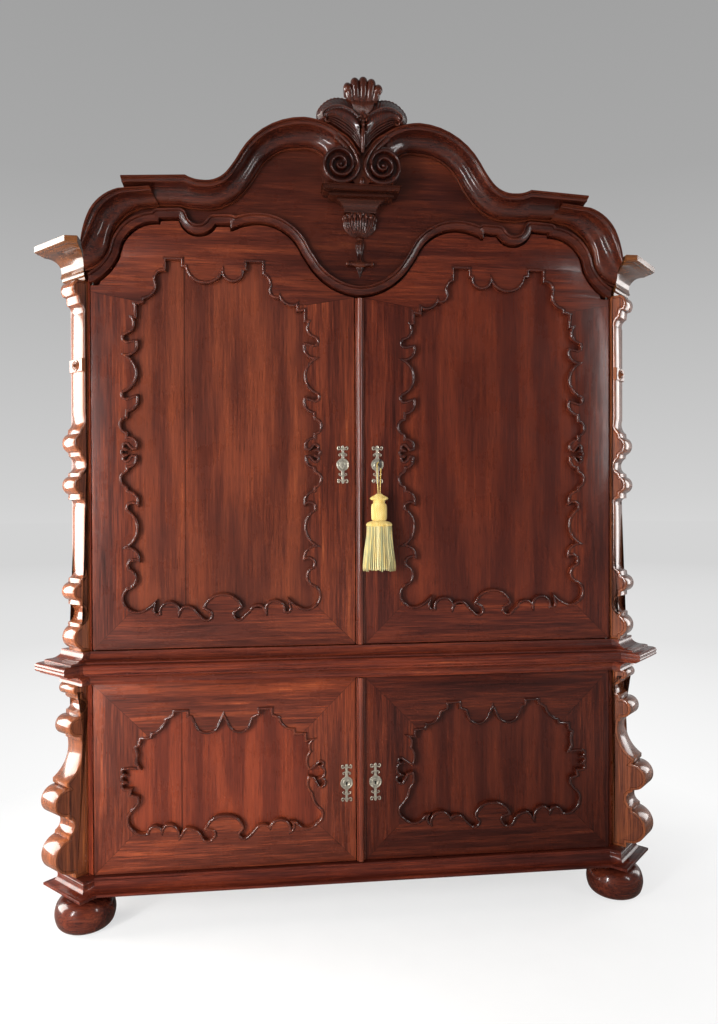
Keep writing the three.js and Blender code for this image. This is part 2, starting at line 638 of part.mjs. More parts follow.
// The crown's two edges are traced with the same number of steps, so that its section can be set between them
const even = { fixed: 2 };
const outerLow = trace(outerCrownLowShares, pedimentPlace, even);
const outerHigh = trace(outerCrownHighShares, pedimentPlace, even);
const crownLow = trace(crownLowShares, pedimentPlace, even);
const crownHigh = trace(crownHighShares, pedimentPlace, even);
const faceY = -6;
const crownReach = 88;
const crownShares = [
  [0, 0], [0, 0.1], [0.08, 0.16], [0.13, 0.24], [0.42, 0.34], [0.47, 0.44], [0.5, 0.44], [0.62, 0.6],
  [0.74, 0.86], [0.78, 0.9], [0.9, 0.92], [0.92, 1], [1, 1], [1, 0],
];
function crownPiece(low, high, reach) {
  return loft(low.map((point, i) => crownShares.map(([up, out]) => new THREE.Vector3(
    point.x + (high[i].x - point.x) * up,
    faceY - gap - out * reach,
    point.y + (high[i].y - point.y) * up,
  ))));
}
const outerSet = 4;
const crown = union([
  crownPiece(outerLow, outerHigh, crownReach - outerSet),
  crownPiece(crownLow, crownHigh, crownReach),
]);
add("crown_right", crown, carvedWood);
add("crown_left", flip(crown), carvedWood);

// Behind the crown, halfway between its edges, lies the top of the front board, the back and the roof
const halfway = (low, high) => low.map((point, i) => point.clone().lerp(high[i], 0.5));
const roofStep = { inner: 0.733, outer: 0.767, end: 0.2 };
const outerMiddle = halfway(outerLow, outerHigh).filter((point) => point.x > roofStep.outer * pedimentHalf);
const innerMiddle = halfway(crownLow, crownHigh).filter((point) => (
  point.x < roofStep.inner * pedimentHalf && point.x > roofStep.end * pedimentHalf));
const roofThick = 22;
const roofRight = [new THREE.Vector2(caseHalf, wallTop + roofThick), ...outerMiddle, ...innerMiddle];
const leftOf = (points) => points.slice().reverse().map((point) => new THREE.Vector2(-point.x, point.y));
const roofLine = [...roofRight, ...leftOf(roofRight)];
const lowered = (line, drop) => line.map((point) => new THREE.Vector2(point.x, point.y - drop));
const stopDrop = 18;
const stopThick = 14;
const boardSides = block(-postKnee + gap, postKnee - gap, -backY, backY, wallTop / 2, wallTop * 2);
const boardFront = plate([...doorLine, ...roofLine], faceY, postFront).intersect(boardSides);
const doorStop = plate([...lowered(doorLine, stopDrop), ...roofLine], postFront, postFront + stopThick)
  .intersect(block(-postInner, postInner, -backY, backY, wallTop / 2, wallTop * 2));
const fasciaHalf = 28;
const fasciaReach = 16;
const fasciaShares = [[-1, 0.28], [0.25, 0.32], [0.5, 1], [0.8, 0.36], [1, 0.3], [0, -0.2]];
const crownFoot = lowered([...outerLow, ...outerHigh.slice().reverse()], gap);
const crownArm = lowered([...crownLow, ...crownHigh.slice().reverse()], gap);
const behindCrown = [crownFoot, leftOf(crownFoot), crownArm, leftOf(crownArm)].map((outline) => (
  plate(outline, -frontReach, faceY)));
const fascia = bandAlong(doorLine, fasciaShares, fasciaHalf, (out) => faceY - out * fasciaReach)
  .intersect(plate([...doorLine, ...roofLine], faceY - fasciaReach * 2, postFront).intersect(boardSides))
  .subtract(union(behindCrown));
const boreRise = 60;
const boreTop = lineBottom + boreRise;
const frontBoard = drill(union([boardFront, doorStop, fascia]), wallTop / 2, boreTop);
add("tympanum", keepLargest(frontBoard).simplify(frameFineness), carvedWood);

const roofStart = postFront + stopThick + gap;
const cantEnd = caseHalf - cantLine(caseHalf) + roofStart - gap;
const roofCorners = [[caseHalf, backY], [caseHalf, cantLine(caseHalf) + gap], [cantEnd, roofStart]];
const roofPlan = roofCorners.map(([x, y]) => new THREE.Vector2(x, y));
const roofUnder = lowered(roofLine, roofThick).reverse();
const roofBoards = plate([...roofLine, ...roofUnder], roofStart, backY);
const roofSpan = column([...roofPlan, ...leftOf(roofPlan)], wallTop / 2, wallTop * 2);
add("roof", roofBoards.intersect(roofSpan), innerWood);
const backTop = lowered(roofLine, roofThick + gap);
const backFoot = [-insideHalf, insideHalf].map((x) => new THREE.Vector2(x, waistTop + gap));
const backInside = block(-insideHalf, insideHalf, 0, 2 * backY, waistTop, 2 * wallTop);
const lapLow = deckLow + deckThick + gap;
const upperLap = block(-deckSide, deckSide, backFace, backY - gap, lapLow, waistTop + over);
const upperBack = plate([...backFoot, ...backTop], backFace, backY - gap).intersect(backInside);
add("upper_back", union([upperBack, upperLap]), innerWood);

// Keep only the main body of a boolean result
function keepLargest(body) {
  return body.decompose().sort((a, b) => b.volume() - a.volume())[0];
}

// Cornice: it turns the canted corner beside the crown and runs back along the side
const corniceReach = 92;
const corniceForward = 1.14;
const corniceIn = 11.5;
const corniceStart = postKnee + corniceIn;
const corniceTall = 103;
const corniceTop = scrollTop + corniceTall;
const corniceShares = [
  [0.1304, 0], [0.163, 0.0777], [0.2283, 0.1068], [0.2283, 0.1845], [0.2826, 0.2039],
  [0.3478, 0.6117, 0.7174, 0.7476], [0.7826, 0.767], [0.8696, 0.8058], [0.9565, 0.8252], [1, 1],
];
const cornicePlace = (out, up) => new THREE.Vector2(out * corniceReach, scrollTop + up * corniceTall);
const corniceSection = [
  new THREE.Vector2(gap, scrollTop),
  ...trace(corniceShares, cornicePlace, medium),
  new THREE.Vector2(gap, corniceTop),
];
const corniceLoft = loft([0, 1, 2, 3].map((station) => corniceSection.map(({ x: reach, y: height }) => {
  const out = (cantFoot + reach * corniceForward) / diagonal;
  const front = faceY - reach;
  const side = caseHalf + reach;
  const spots = [[postInner, front], [out + front, front], [side, side - out], [side, backY]];
  return new THREE.Vector3(spots[station][0], spots[station][1], height);
})));
const outside = block(corniceStart, 2 * caseHalf, -backY, 2 * backY, wallTop / 2, wallTop * 2);
const corniceRun = corniceLoft.intersect(outside);
add("cornice_right", corniceRun, caseWood);
add("cornice_left", flip(corniceRun), caseWood);

// Volutes that the crown rolls into
const voluteX = 66;
const voluteShare = 0.596875;
const voluteZ = pedimentPlace(0, voluteShare).y;
const voluteRadius = 57;
const voluteFace = -72;
const voluteFront = -90;
const voluteEye = 9;
const voluteEdge = 3;
const ridgeStart = { at: 56.5, half: 6 };
const ridgeEnd = { at: 12, half: 4 };
const ridgeRise = 18;
const ridgeShares = [[-1, -0.22], [-0.7, 0.83], [0.7, 1], [1, -0.22]];
function volute() {
  const steps = 24;
  const turns = 2.2;
  const rings = [];
  for (let i = 0; i <= steps; i += 1) {
    const share = i / steps;
    const angle = Math.PI + share * turns * 2 * Math.PI;
    const half = THREE.MathUtils.lerp(ridgeStart.half, ridgeEnd.half, share);
    const radius = THREE.MathUtils.lerp(ridgeStart.at, ridgeEnd.at, share);
    rings.push(ridgeShares.map(([out, rise]) => new THREE.Vector3(
      voluteX + (radius + out * half) * Math.cos(angle),
      voluteFace - rise * ridgeRise,
      voluteZ + (radius + out * half) * Math.sin(angle),
    )));
  }
  const drum = roundBar(voluteRadius - voluteEdge, 24, "y", [voluteX, voluteZ], voluteFace, faceY - gap);
  const eye = roundBar(voluteEye, 12, "y", [voluteX, voluteZ], voluteFront, voluteFace + over);
  return union([drum, eye, loft(rings)]);
}
const rightVolute = keepLargest(volute().subtract(crown));
add("volute_right", rightVolute, carvedWood);
add("volute_left", flip(rightVolute), carvedWood);

// Console under the volutes
const consoleDrop = 125;
const consoleLow = voluteZ - consoleDrop;
const consoleTall = 62;
const consoleHalf = 123;
const consoleReach = 82;
const consoleShares = [
  [0, 0.42, 0.37], [0.3, 0.5, 0.45], [0.46, 0.62, 0.56], [0.48, 0.83, 0.79], [0.7, 0.85, 0.81],
  [0.72, 0.79, 0.76], [0.78, 0.79, 0.76], [0.8, 0.97, 0.95], [0.83, 1, 1], [1, 1, 1],
];
add("console", loft(consoleShares.map(([up, half, reach]) => {
  const z = consoleLow + up * consoleTall;
  const spots = [[-1, 0], [-1, reach], [1, reach], [1, 0]];
  return spots.map(([side, out]) => new THREE.Vector3(
    side * half * consoleHalf,
    out ? -out * consoleReach : faceY - gap,
    z,
  ));
})), carvedWood);

// Shell cup and leafy drop under the console
const shellTop = consoleLow - over;
const dropTall = 190;
const dropShares = [
  { down: 0, wide: 0.284, deep: 0.179, tall: 0.41 },
  { down: 0.56, wide: 0.08, deep: 0.09, tall: 0.2 },
  { down: 0.818, wide: 0.235, deep: 0.074, tall: 0.045 },
  { down: 0.86, wide: 0.07, deep: 0.08, tall: 0.138 },
];
function dropPart({ down, wide, deep, tall }) {
  const ball = new THREE.SphereGeometry(dropTall, 12, 8);
  ball.scale(wide, deep, tall);
  ball.translate(0, faceY, shellTop - down * dropTall);
  return solid(ball);
}
const frontSide = block(-doorWide, doorWide, -frontReach, faceY - gap, lineBottom, shellTop);
add("shell_drop", union(dropShares.map(dropPart)).intersect(frontSide), carvedWood);

// Crest: a fan of leaves on the crown's crossing with a scrolled knot on top
const crestHalf = 0.15 * pedimentHalf;
const crestEdge = trace([
  [0, 1.0078], [0.022, 1.0094, 0.04, 0.9969], [0.0644, 0.9719, 0.0578, 0.935], [0.054, 0.915], [0.0622, 0.9],
  [0.0889, 0.9063, 0.1278, 0.8844], [0.1489, 0.8531, 0.1556, 0.8203], [0.1556, 0.8],
], pedimentPlace, medium);
const crestBase = lowered(crownHigh.filter((point) => point.x < crestHalf), -gap);
const crestFoot = new THREE.Vector2(0, crestBase.at(-1).y);
const crestRight = [...crestEdge.slice(1), ...crestBase];
const crestOutline = [crestEdge[0], ...crestRight, crestFoot, ...leftOf(crestRight)];
add("crest", plate(crestOutline, -frontReach, faceY - gap), carvedWood);

// Doors: a framed board with a shaped opening, a bead round it and a panel let in from behind
const upperPlace = (x, z) => new THREE.Vector2(x * doorWide, waistTop + z * upperTall);
const onAxis = (mirror) => (x, z) => upperPlace(panelAxis / doorWide + mirror * x, z);
const upperTurn = upperSideShares.at(-1).slice(-2);
const underLeft = [upperTurn, ...upperBottomShares];
const underRight = backwards([upperTurn, ...upperBottomShares.slice(0, -1)]);
const upperOpening = [
  ...trace(upperTopShares, upperPlace, coarse),
  ...trace(upperSideShares, onAxis(-1), coarse),
  ...trace(underLeft, onAxis(-1), coarse).slice(1),
  ...trace(underRight, onAxis(1), coarse).slice(1),
  ...trace(backwards(upperSideShares), onAxis(1), coarse).slice(1),
];
const lowerPlace = (x, z) => new THREE.Vector2(x * doorWide, baseTop + z * lowerTall);
const lowerOpening = trace(lowerPanelShares, lowerPlace, coarse);
const beadShares = [[-1, -2.5], [-0.1, 1], [1, -0.5]];
const upperRebateShares = [
  [0.136, 0.8], [0.136, 0.0594], [0.913, 0.0594], [0.913, 0.8263], [0.777, 0.915], [0.3254, 0.915],
  [0.1943, 0.815],
];
const lowerRebateShares = [[0.1117, 0.1205], [0.9253, 0.1205], [0.9253, 0.8811], [0.1117, 0.8811]];
const upperRebate = upperRebateShares.map(([x, z]) => upperPlace(x, z));
const lowerRebate = lowerRebateShares.map(([x, z]) => lowerPlace(x, z));
const insetBy = (points, inset) => {
  const middle = points.reduce((sum, p) => sum.add(p), new THREE.Vector2()).divideScalar(points.length);
  return points.map((point) => new THREE.Vector2(
    point.x - Math.sign(point.x - middle.x) * inset,
    point.y - Math.sign(point.y - middle.y) * inset,
  ));
};
function pivotEdge(low, high) {
  const spare = block(doorWide - pivotIn, doorWide + over, -over, pivotIn, low - over, high + over);
  return spare.subtract(roundBar(pivotIn, 24, "z", pivots[0], low - 2 * over, high + 2 * over));
}
const pinHole = (at) => roundBar(pinBore, 16, "z", pivots[0], at - pinReach, at + pinReach);
function doorFrame(body, opening, rebate, low, high, inner, holes) {
  const beads = beadRound(opening, beadShares, beadHalf, (out) => -out * beadProud);
  const cut = plate(opening, -over, doorThick + over);
  const recess = plate(rebate, frameFront, doorThick + over);
  const span = block(inner, doorWide, -beadProud * 2, doorThick, low, high);
  const board = union([body.subtract(cut), beads]).subtract(recess).intersect(span);
  const cuts = [pivotEdge(low, high), pinHole(low), pinHole(high), ...holes];
  return keepLargest(cuts.reduce((rest, hole) => rest.subtract(hole), board)).simplify(frameFineness);
}
const panelPlay = 0.4;
const panelFront = frameFront + gap;
const panelOf = (rebate) => plate(insetBy(rebate, panelPlay), panelFront, panelFront + panelThick);

const lockX = 55;
const upperLockRise = 571;
const upperLockZ = waistTop + upperLockRise;
const lowerLockX = 46;
const lowerLockRise = 252;
const lowerLockZ = baseTop + lowerLockRise;
const keyBore = 4;
const keyhole = (x, z) => roundBar(keyBore, 16, "y", [x, z], -over, doorThick + over);

const upperLow = waistTop + sillGap;
const lowerLow = baseTop + sillGap;
const lowerHigh = waistBottom - sillGap;
const hingeReach = 15;
const nearHinge = doorLine.filter((point) => point.x > doorWide - hingeReach);
const hingeTop = Math.min(...nearHinge.map((point) => point.y)) - topGap;
const upperFoot = [-doorWide, doorWide].map((x) => new THREE.Vector2(x, upperLow));
const underLine = (aside) => plate([
  ...upperFoot.map((point) => new THREE.Vector2(point.x - aside, point.y)),
  ...doorLine.map((point) => new THREE.Vector2(point.x - aside, point.y - topGap)).reverse(),
], 0, doorThick);
const hingeFlat = block(doorWide - hingeEase, doorWide + over, -over, doorThick + over, hingeTop, wallTop);
const upperBody = underLine(-backPlay).intersect(underLine(swingPlay).subtract(hingeFlat));
const lowerBody = block(-doorWide, doorWide, 0, doorThick, lowerLow, lowerHigh);
const leaves = [["left", meetX + meetGap, flip], ["right", -meetX, (body) => body]];
for (const [label, inner, face] of leaves) {
  const lockSide = label === "right";
  const upperHoles = lockSide ? [keyhole(lockX, upperLockZ)] : [];
  const lowerHoles = lockSide ? [keyhole(lowerLockX, lowerLockZ)] : [];
  upperHoles.push(pinHole(hingeTop));
  const upper = doorFrame(upperBody, upperOpening, upperRebate, upperLow, corniceTop * 2, inner, upperHoles);
  const lower = doorFrame(lowerBody, lowerOpening, lowerRebate, lowerLow, lowerHigh, inner, lowerHoles);
  add(`upper_${label}_door_frame`, face(upper), doorWood);
  add(`upper_${label}_door_panel`, face(panelOf(upperRebate)), panelWood);
  add(`lower_${label}_door_frame`, face(lower), doorWood);
  add(`lower_${label}_door_panel`, face(panelOf(lowerRebate)), panelWood);
}

// Rounded strips that cover the meeting line, fixed to the right-hand doors
const stripProud = 14;
const stripShares = [
  [-1, 0.02], [-1, 0.286], [-0.714, 0.286], [0, 1, 0.714, 0.286], [1, 0.286], [1, 0.02],
];
const stripSection = trace(stripShares, (x, out) => new THREE.Vector2(x * meetX, -out * stripProud), medium);
const stripTop = Math.min(...doorLine.map((point) => point.y)) - topGap - 2;
add("upper_meeting_strip", column(stripSection, upperLow, stripTop), caseWood);
add("lower_meeting_strip", column(stripSection, lowerLow, lowerHigh), caseWood);

// Iron pivot pins, the middle ones shared by the upper and the lower door
const pinPlay = 4;
const pinRows = [
  ["top_pin", hingeTop - pinReach + pinPlay, boreTop - over],
  ["waist_pin", lowerHigh - pinReach + pinPlay, upperLow + pinReach - pinPlay],
  ["base_pin", baseTop - pinDepth, lowerLow + pinReach - pinPlay],
];
for (const [name, low, high] of pinRows) {
  const pin = roundBar(pinRadius, 12, "z", pivots[0], low, high);
  add(`${name}_right`, pin, iron);
  add(`${name}_left`, flip(pin), iron);
}

// Lock cases on the backs of the right-hand doors, each with a round room for the key's bit
const lockDepth = 16;
const lockHalf = 36;
const lockTall = 52;
const lockNear = doorThick + gap;
const lockSkin = 4;
const bitRoom = 13;
function lockCase(x, z) {
  const box = block(x - lockHalf, x + lockHalf, lockNear, lockNear + lockDepth, z - lockTall, z + lockTall);
  const room = roundBar(bitRoom, 20, "y", [x, z], lockNear + lockSkin, lockNear + lockDepth - lockSkin);
  const way = roundBar(keyBore, 16, "y", [x, z], lockNear - over, lockNear + lockSkin + over);
  return box.subtract(room).subtract(way);
}
add("upper_lock", lockCase(lockX, upperLockZ), iron);
add("lower_lock", lockCase(lowerLockX, lowerLockZ), iron);

// Pierced plates round the keyholes: a disc between two scrolled ends
const plateThick = 3;
const discRadius = 20;
const scrollShares = [[0.45, 1.65, 0.45], [0, 2.35, 0.4], [0, 2.85, 0.2]];
const discShares = [[0, 0, 1]];
for (const [x, z, radius] of scrollShares) {
  for (const [flipX, flipZ] of [[1, 1], [1, -1], ...(x > 0 ? [[-1, 1], [-1, -1]] : [])]) {
    discShares.push([x * flipX, z * flipZ, radius]);
  }
}
const stemHalf = 5;
const stemTall = 40;
const slotHalf = 2;
const slotTall = 12;
function escutcheon(x, z) {
  const discs = discShares.map(([dx, dz, size]) => roundBar(
    size * discRadius,
    size === 1 ? 14 : 7,
    "y",
    [x + dx * discRadius, z + dz * discRadius],
    -gap - plateThick,
    -gap,
  ));
  const stem = block(x - stemHalf, x + stemHalf, -gap - plateThick, -gap, z - stemTall, z + stemTall);
  const hole = roundBar(keyBore, 10, "y", [x, z], -plateThick * 2, over);
  const slot = block(x - slotHalf, x + slotHalf, -plateThick * 2, over, z - slotTall, z);
  return union([...discs, stem]).subtract(hole).subtract(slot);
}
add("upper_escutcheon_right", escutcheon(lockX, upperLockZ), brass);
add("upper_escutcheon_left", flip(escutcheon(lockX, upperLockZ)), brass);
add("lower_escutcheon_right", escutcheon(lowerLockX, lowerLockZ), brass);
add("lower_escutcheon_left", flip(escutcheon(lowerLockX, lowerLockZ)), brass);

// A swinging cover over the left-hand keyhole
const coverRadius = 8;
const coverTall = 1.6;
const coverThick = 1.6;
const coverBack = -2 * gap - plateThick;
const coverDisc = new THREE.CylinderGeometry(coverRadius, coverRadius, coverThick, 16);
coverDisc.scale(1, 1, coverTall);
coverDisc.translate(-lockX, coverBack - coverThick / 2, upperLockZ - over);
add("keyhole_cover", solid(coverDisc), brass);

// The key, with a ring bow, stands in the upper lock
const keyFront = -58;
const keyBow = 12;
const bowRadius = 2.4;
const bitHalf = 1.5;
const bitTall = 11;
const keyPlay = 5;
const shaftEnd = lockNear + lockDepth - keyPlay;
const shaft = roundBar(pinRadius, 12, "y", [lockX, upperLockZ], keyFront, shaftEnd);
const bitLow = upperLockZ - bitTall;
const bit = block(lockX - bitHalf, lockX + bitHalf, lockNear + keyPlay, shaftEnd, bitLow, upperLockZ);
const bowRing = new THREE.TorusGeometry(keyBow, bowRadius, 8, 18);
bowRing.rotateY(Math.PI / 2);
bowRing.translate(lockX, keyFront - keyBow + over, upperLockZ);
add("key", union([shaft, bit, solid(bowRing)]), iron);

// Tassel: a loop of cord over the key's neck, a turned head and a skirt of threads
const tasselY = -40;
const cordRadius = 1.6;
const loopHalf = 6.2;
const loopTall = 92;
const headTall = 104;
const skirtTall = 142;
const headTop = upperLockZ - loopTall;
const headBottom = headTop - headTall;
const skirtBottom = headBottom - skirtTall;
const loopPlay = 1;
const loopTop = upperLockZ + pinRadius + cordRadius + loopPlay;
const loopShares = [[0.516, 0], [0.677, 0.302], [1, 0.88], [0.82, 0.97], [0, 1]];
const rightLoop = loopShares.map(([x, up]) => new THREE.Vector3(
  lockX + x * loopHalf,
  tasselY,
  THREE.MathUtils.lerp(headTop + gap, loopTop, up),
));
const leftLoop = rightLoop.slice(0, -1).map(({ x, y, z }) => new THREE.Vector3(2 * lockX - x, y, z));
const cordPath = new THREE.CatmullRomCurve3([...leftLoop, ...rightLoop.slice().reverse()]);
const cordRing = new THREE.Shape();
cordRing.absarc(0, 0, cordRadius, 0, 2 * Math.PI);
add("tassel_cord", solid(new THREE.ExtrudeGeometry(cordRing, {
  steps: 26, curveSegments: 4, bevelEnabled: false, extrudePath: cordPath,
})), silk);
const headShares = [
  [0, 0], [0.8, 0], [1, 0.07, 0.72, 0.15], [0.55, 0.2], [0.66, 0.3, 0.7, 0.5], [0.6, 0.7, 0.42, 0.78],
  [0.5, 0.8], [0.72, 0.84, 0.5, 0.89], [0.3, 0.94, 0.24, 1], [0, 1],
];
const headWide = 40;
const flatten = 0.42;
function tasselPart(rows, wide, low, high, facets) {
  const profile = trace(rows, (r, h) => new THREE.Vector2(r * wide, low + h * (high - low)), coarse);
  const turned = new THREE.LatheGeometry(profile, facets);
  turned.rotateX(Math.PI / 2);
  turned.scale(1, flatten, 1);
  turned.translate(lockX, tasselY, 0);
  return turned;
}
add("tassel_head", solid(tasselPart(headShares, headWide, headBottom, headTop, 14)), silk);
const skirtWide = 58;
const skirtShares = [[0, 0], [1, 0], [0.98, 0.1], [0.72, 0.6, 0.62, 1], [0, 1]];
const skirtFolds = 22;
const foldDepth = 0.1;
const skirt = tasselPart(skirtShares, skirtWide, skirtBottom, headBottom - gap, 2 * skirtFolds);
const spots = skirt.getAttribute("position");
for (let i = 0; i < spots.count; i += 1) {
  const across = spots.getX(i) - lockX;
  const deep = spots.getY(i) - tasselY;
  const turn = Math.atan2(deep / flatten, across) / Math.PI * skirtFolds;
  const draw = 1 - foldDepth * Math.abs(Math.round(turn) % 2);
  spots.setXYZ(i, lockX + across * draw, tasselY + deep * draw, spots.getZ(i));
}
add("tassel_skirt", solid(skirt), silk);

export default cabinet;
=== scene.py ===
"""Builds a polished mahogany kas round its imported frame: carved pediment, shaped doors, scrolled corners."""

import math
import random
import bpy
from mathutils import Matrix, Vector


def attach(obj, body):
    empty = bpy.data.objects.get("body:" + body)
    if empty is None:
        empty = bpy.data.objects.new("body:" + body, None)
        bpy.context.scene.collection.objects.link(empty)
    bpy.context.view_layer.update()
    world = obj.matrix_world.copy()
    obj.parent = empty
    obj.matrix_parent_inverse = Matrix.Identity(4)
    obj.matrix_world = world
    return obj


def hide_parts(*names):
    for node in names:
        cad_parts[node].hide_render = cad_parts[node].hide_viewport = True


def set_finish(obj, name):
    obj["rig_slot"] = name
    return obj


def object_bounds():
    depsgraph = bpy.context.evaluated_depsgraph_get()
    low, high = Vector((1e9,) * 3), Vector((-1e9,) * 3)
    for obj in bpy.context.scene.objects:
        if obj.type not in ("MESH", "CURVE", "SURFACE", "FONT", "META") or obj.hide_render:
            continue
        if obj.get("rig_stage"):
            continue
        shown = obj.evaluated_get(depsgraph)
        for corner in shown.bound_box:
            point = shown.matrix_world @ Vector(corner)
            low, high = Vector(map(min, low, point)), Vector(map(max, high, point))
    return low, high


bl_info = {
    "name": "Double-bodied kas",
    "version": (1, 0, 0),
    "blender": (4, 5, 0),
    "location": "3D View > Sidebar > Kas",
    "description": "Polished kas with a swan-neck pediment, shaped door openings and canted scroll corners",
    "category": "Add Mesh",
}

import bmesh
import bpy
import numpy as np
from bpy.props import FloatProperty, FloatVectorProperty, PointerProperty
from bpy.types import Operator, Panel, PropertyGroup
from mathutils import Matrix, Vector
from mathutils.geometry import tessellate_polygon

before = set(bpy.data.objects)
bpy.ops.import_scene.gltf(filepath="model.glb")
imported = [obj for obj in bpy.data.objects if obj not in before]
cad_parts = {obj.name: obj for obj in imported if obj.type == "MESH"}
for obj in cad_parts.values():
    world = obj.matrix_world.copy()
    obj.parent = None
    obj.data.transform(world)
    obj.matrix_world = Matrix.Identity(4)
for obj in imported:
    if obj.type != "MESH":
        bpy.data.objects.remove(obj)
cad_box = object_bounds()

# Places in metres. Depths run back from the front face of the doors, which lies at DOOR_FRONT.
DOOR_FRONT = -0.22
DIAGONAL = math.sqrt(0.5)
GAP = 0.0003
BASE_BOTTOM = 0.115
BASE_TOP = 0.161
WAIST_BOTTOM = 0.750
WAIST_TOP = 0.851
SCROLL_TOP = 1.979
WALL_TOP = 2.020
LINE_BOTTOM = 1.950
LINE_TALL = 0.640
BACK = 0.560
CASE_HALF = 0.901
CHEEK_FOOT = 0.5862
SCROLL_THICK = 0.108
# Where a scroll board starts along the cant, and its thickness
LOWER_SCROLL = 0.612, 0.0822
UPPER_SCROLL = 0.594, 0.067
CANT_FOOT = 0.5827
POST_INNER = 0.800
POST_FRONT = 0.030
POST_BACK = 0.102
POST_KNEE = 0.8265
DOOR_WIDE = 0.8235
DOOR_THICK = 0.028
FRAME_FRONT = 0.013
MEET = 0.014
MEET_GAP = 0.0025
TOP_GAP = 0.007
UPPER_TALL = 1.330
LOWER_TALL = 0.589
PANEL_AXIS = 0.431
PEDIMENT_HALF = 0.900
FACE = -0.006
CROWN_REACH = 0.088
CROWN_SET = 0.004
CORNICE_START = 0.838
CORNICE_TOP = 2.082
LOCK_X = 0.055
UPPER_LOCK = 1.422
LOWER_LOCK_X = 0.046
LOWER_LOCK = 0.413
TASSEL_DEPTH = -0.040
# Room over and under a door
DOOR_CLEAR = 0.0025
UPPER_LOW = WAIST_TOP + DOOR_CLEAR
LOWER_LOW = BASE_TOP + DOOR_CLEAR
LOWER_HIGH = WAIST_BOTTOM - DOOR_CLEAR

# Outlines of the doors' openings and rebates, as shares of the door's width and of its unit's height.
# Two numbers are a straight line to a point, four an arc through one point to the next.
UPPER_SIDE_SHARES = [
    [0.3145, 0.7955], [0.3145, 0.7677], [0.3291, 0.7677], [0.323, 0.7474, 0.3485, 0.7308],
    [0.3631, 0.7218, 0.3412, 0.7105], [0.3121, 0.7143], [0.3145, 0.694, 0.3607, 0.6812],
    [0.3133, 0.6414, 0.3607, 0.597], [0.3667, 0.588, 0.3449, 0.5797], [0.3121, 0.5872],
    [0.3157, 0.5639, 0.3485, 0.5519], [0.3497, 0.5376], [0.3631, 0.5346], [0.374, 0.518, 0.3497, 0.5015],
    [0.3497, 0.4902], [0.3206, 0.4857, 0.3157, 0.4662], [0.3303, 0.4647], [0.3449, 0.4767],
    [0.3631, 0.4714, 0.3509, 0.4632], [0.3692, 0.4571, 0.3509, 0.4504], [0.3631, 0.4436, 0.3449, 0.4368],
    [0.3303, 0.4496], [0.3157, 0.4481], [0.3206, 0.4316, 0.3473, 0.4226], [0.3497, 0.4135],
    [0.3631, 0.4083], [0.3728, 0.394, 0.3509, 0.3767], [0.3485, 0.3669],
    [0.3206, 0.3594, 0.3109, 0.3361], [0.3303, 0.3406, 0.3497, 0.3331], [0.3509, 0.3233],
    [0.3121, 0.2782, 0.3607, 0.2361], [0.3182, 0.2271, 0.3072, 0.2068], [0.3303, 0.209, 0.3485, 0.1955],
    [0.3449, 0.1865], [0.3182, 0.1639, 0.3485, 0.1414], [0.3679, 0.1173, 0.3461, 0.094],
    [0.3254, 0.0872, 0.2963, 0.0887],
]
UPPER_FOOT_SHARES = [
    [0.2769, 0.0947, 0.2477, 0.1105], [0.255, 0.0917], [0.2502, 0.0835, 0.2319, 0.082],
    [0.1967, 0.109, 0.1627, 0.0782], [0.1384, 0.0985, 0.102, 0.0865], [0.0753, 0.0707],
    [0.0449, 0.0692, 0.0498, 0.0872], [0.0704, 0.0947], [0, 0.1256, -0.0704, 0.0947],
]
UPPER_HEAD_SHARES = [
    [0.8415, 0.7985], [0.8148, 0.803], [0.8136, 0.8113], [0.8027, 0.8135],
    [0.7735, 0.8271, 0.7687, 0.8526], [0.7602, 0.8729, 0.7322, 0.8782], [0.7322, 0.9053],
    [0.6667, 0.9053], [0.6667, 0.8887], [0.6521, 0.888], [0.5804, 0.8519, 0.5173, 0.885],
    [0.4833, 0.8571, 0.4444, 0.8842], [0.4335, 0.885], [0.4335, 0.9053], [0.3655, 0.9053],
    [0.3655, 0.8752], [0.3437, 0.8639, 0.3424, 0.8436], [0.3303, 0.8241, 0.306, 0.8218],
    [0.3048, 0.8271], [0.2805, 0.8075, 0.2489, 0.8045], [0.238, 0.809], [0.2368, 0.7917],
]
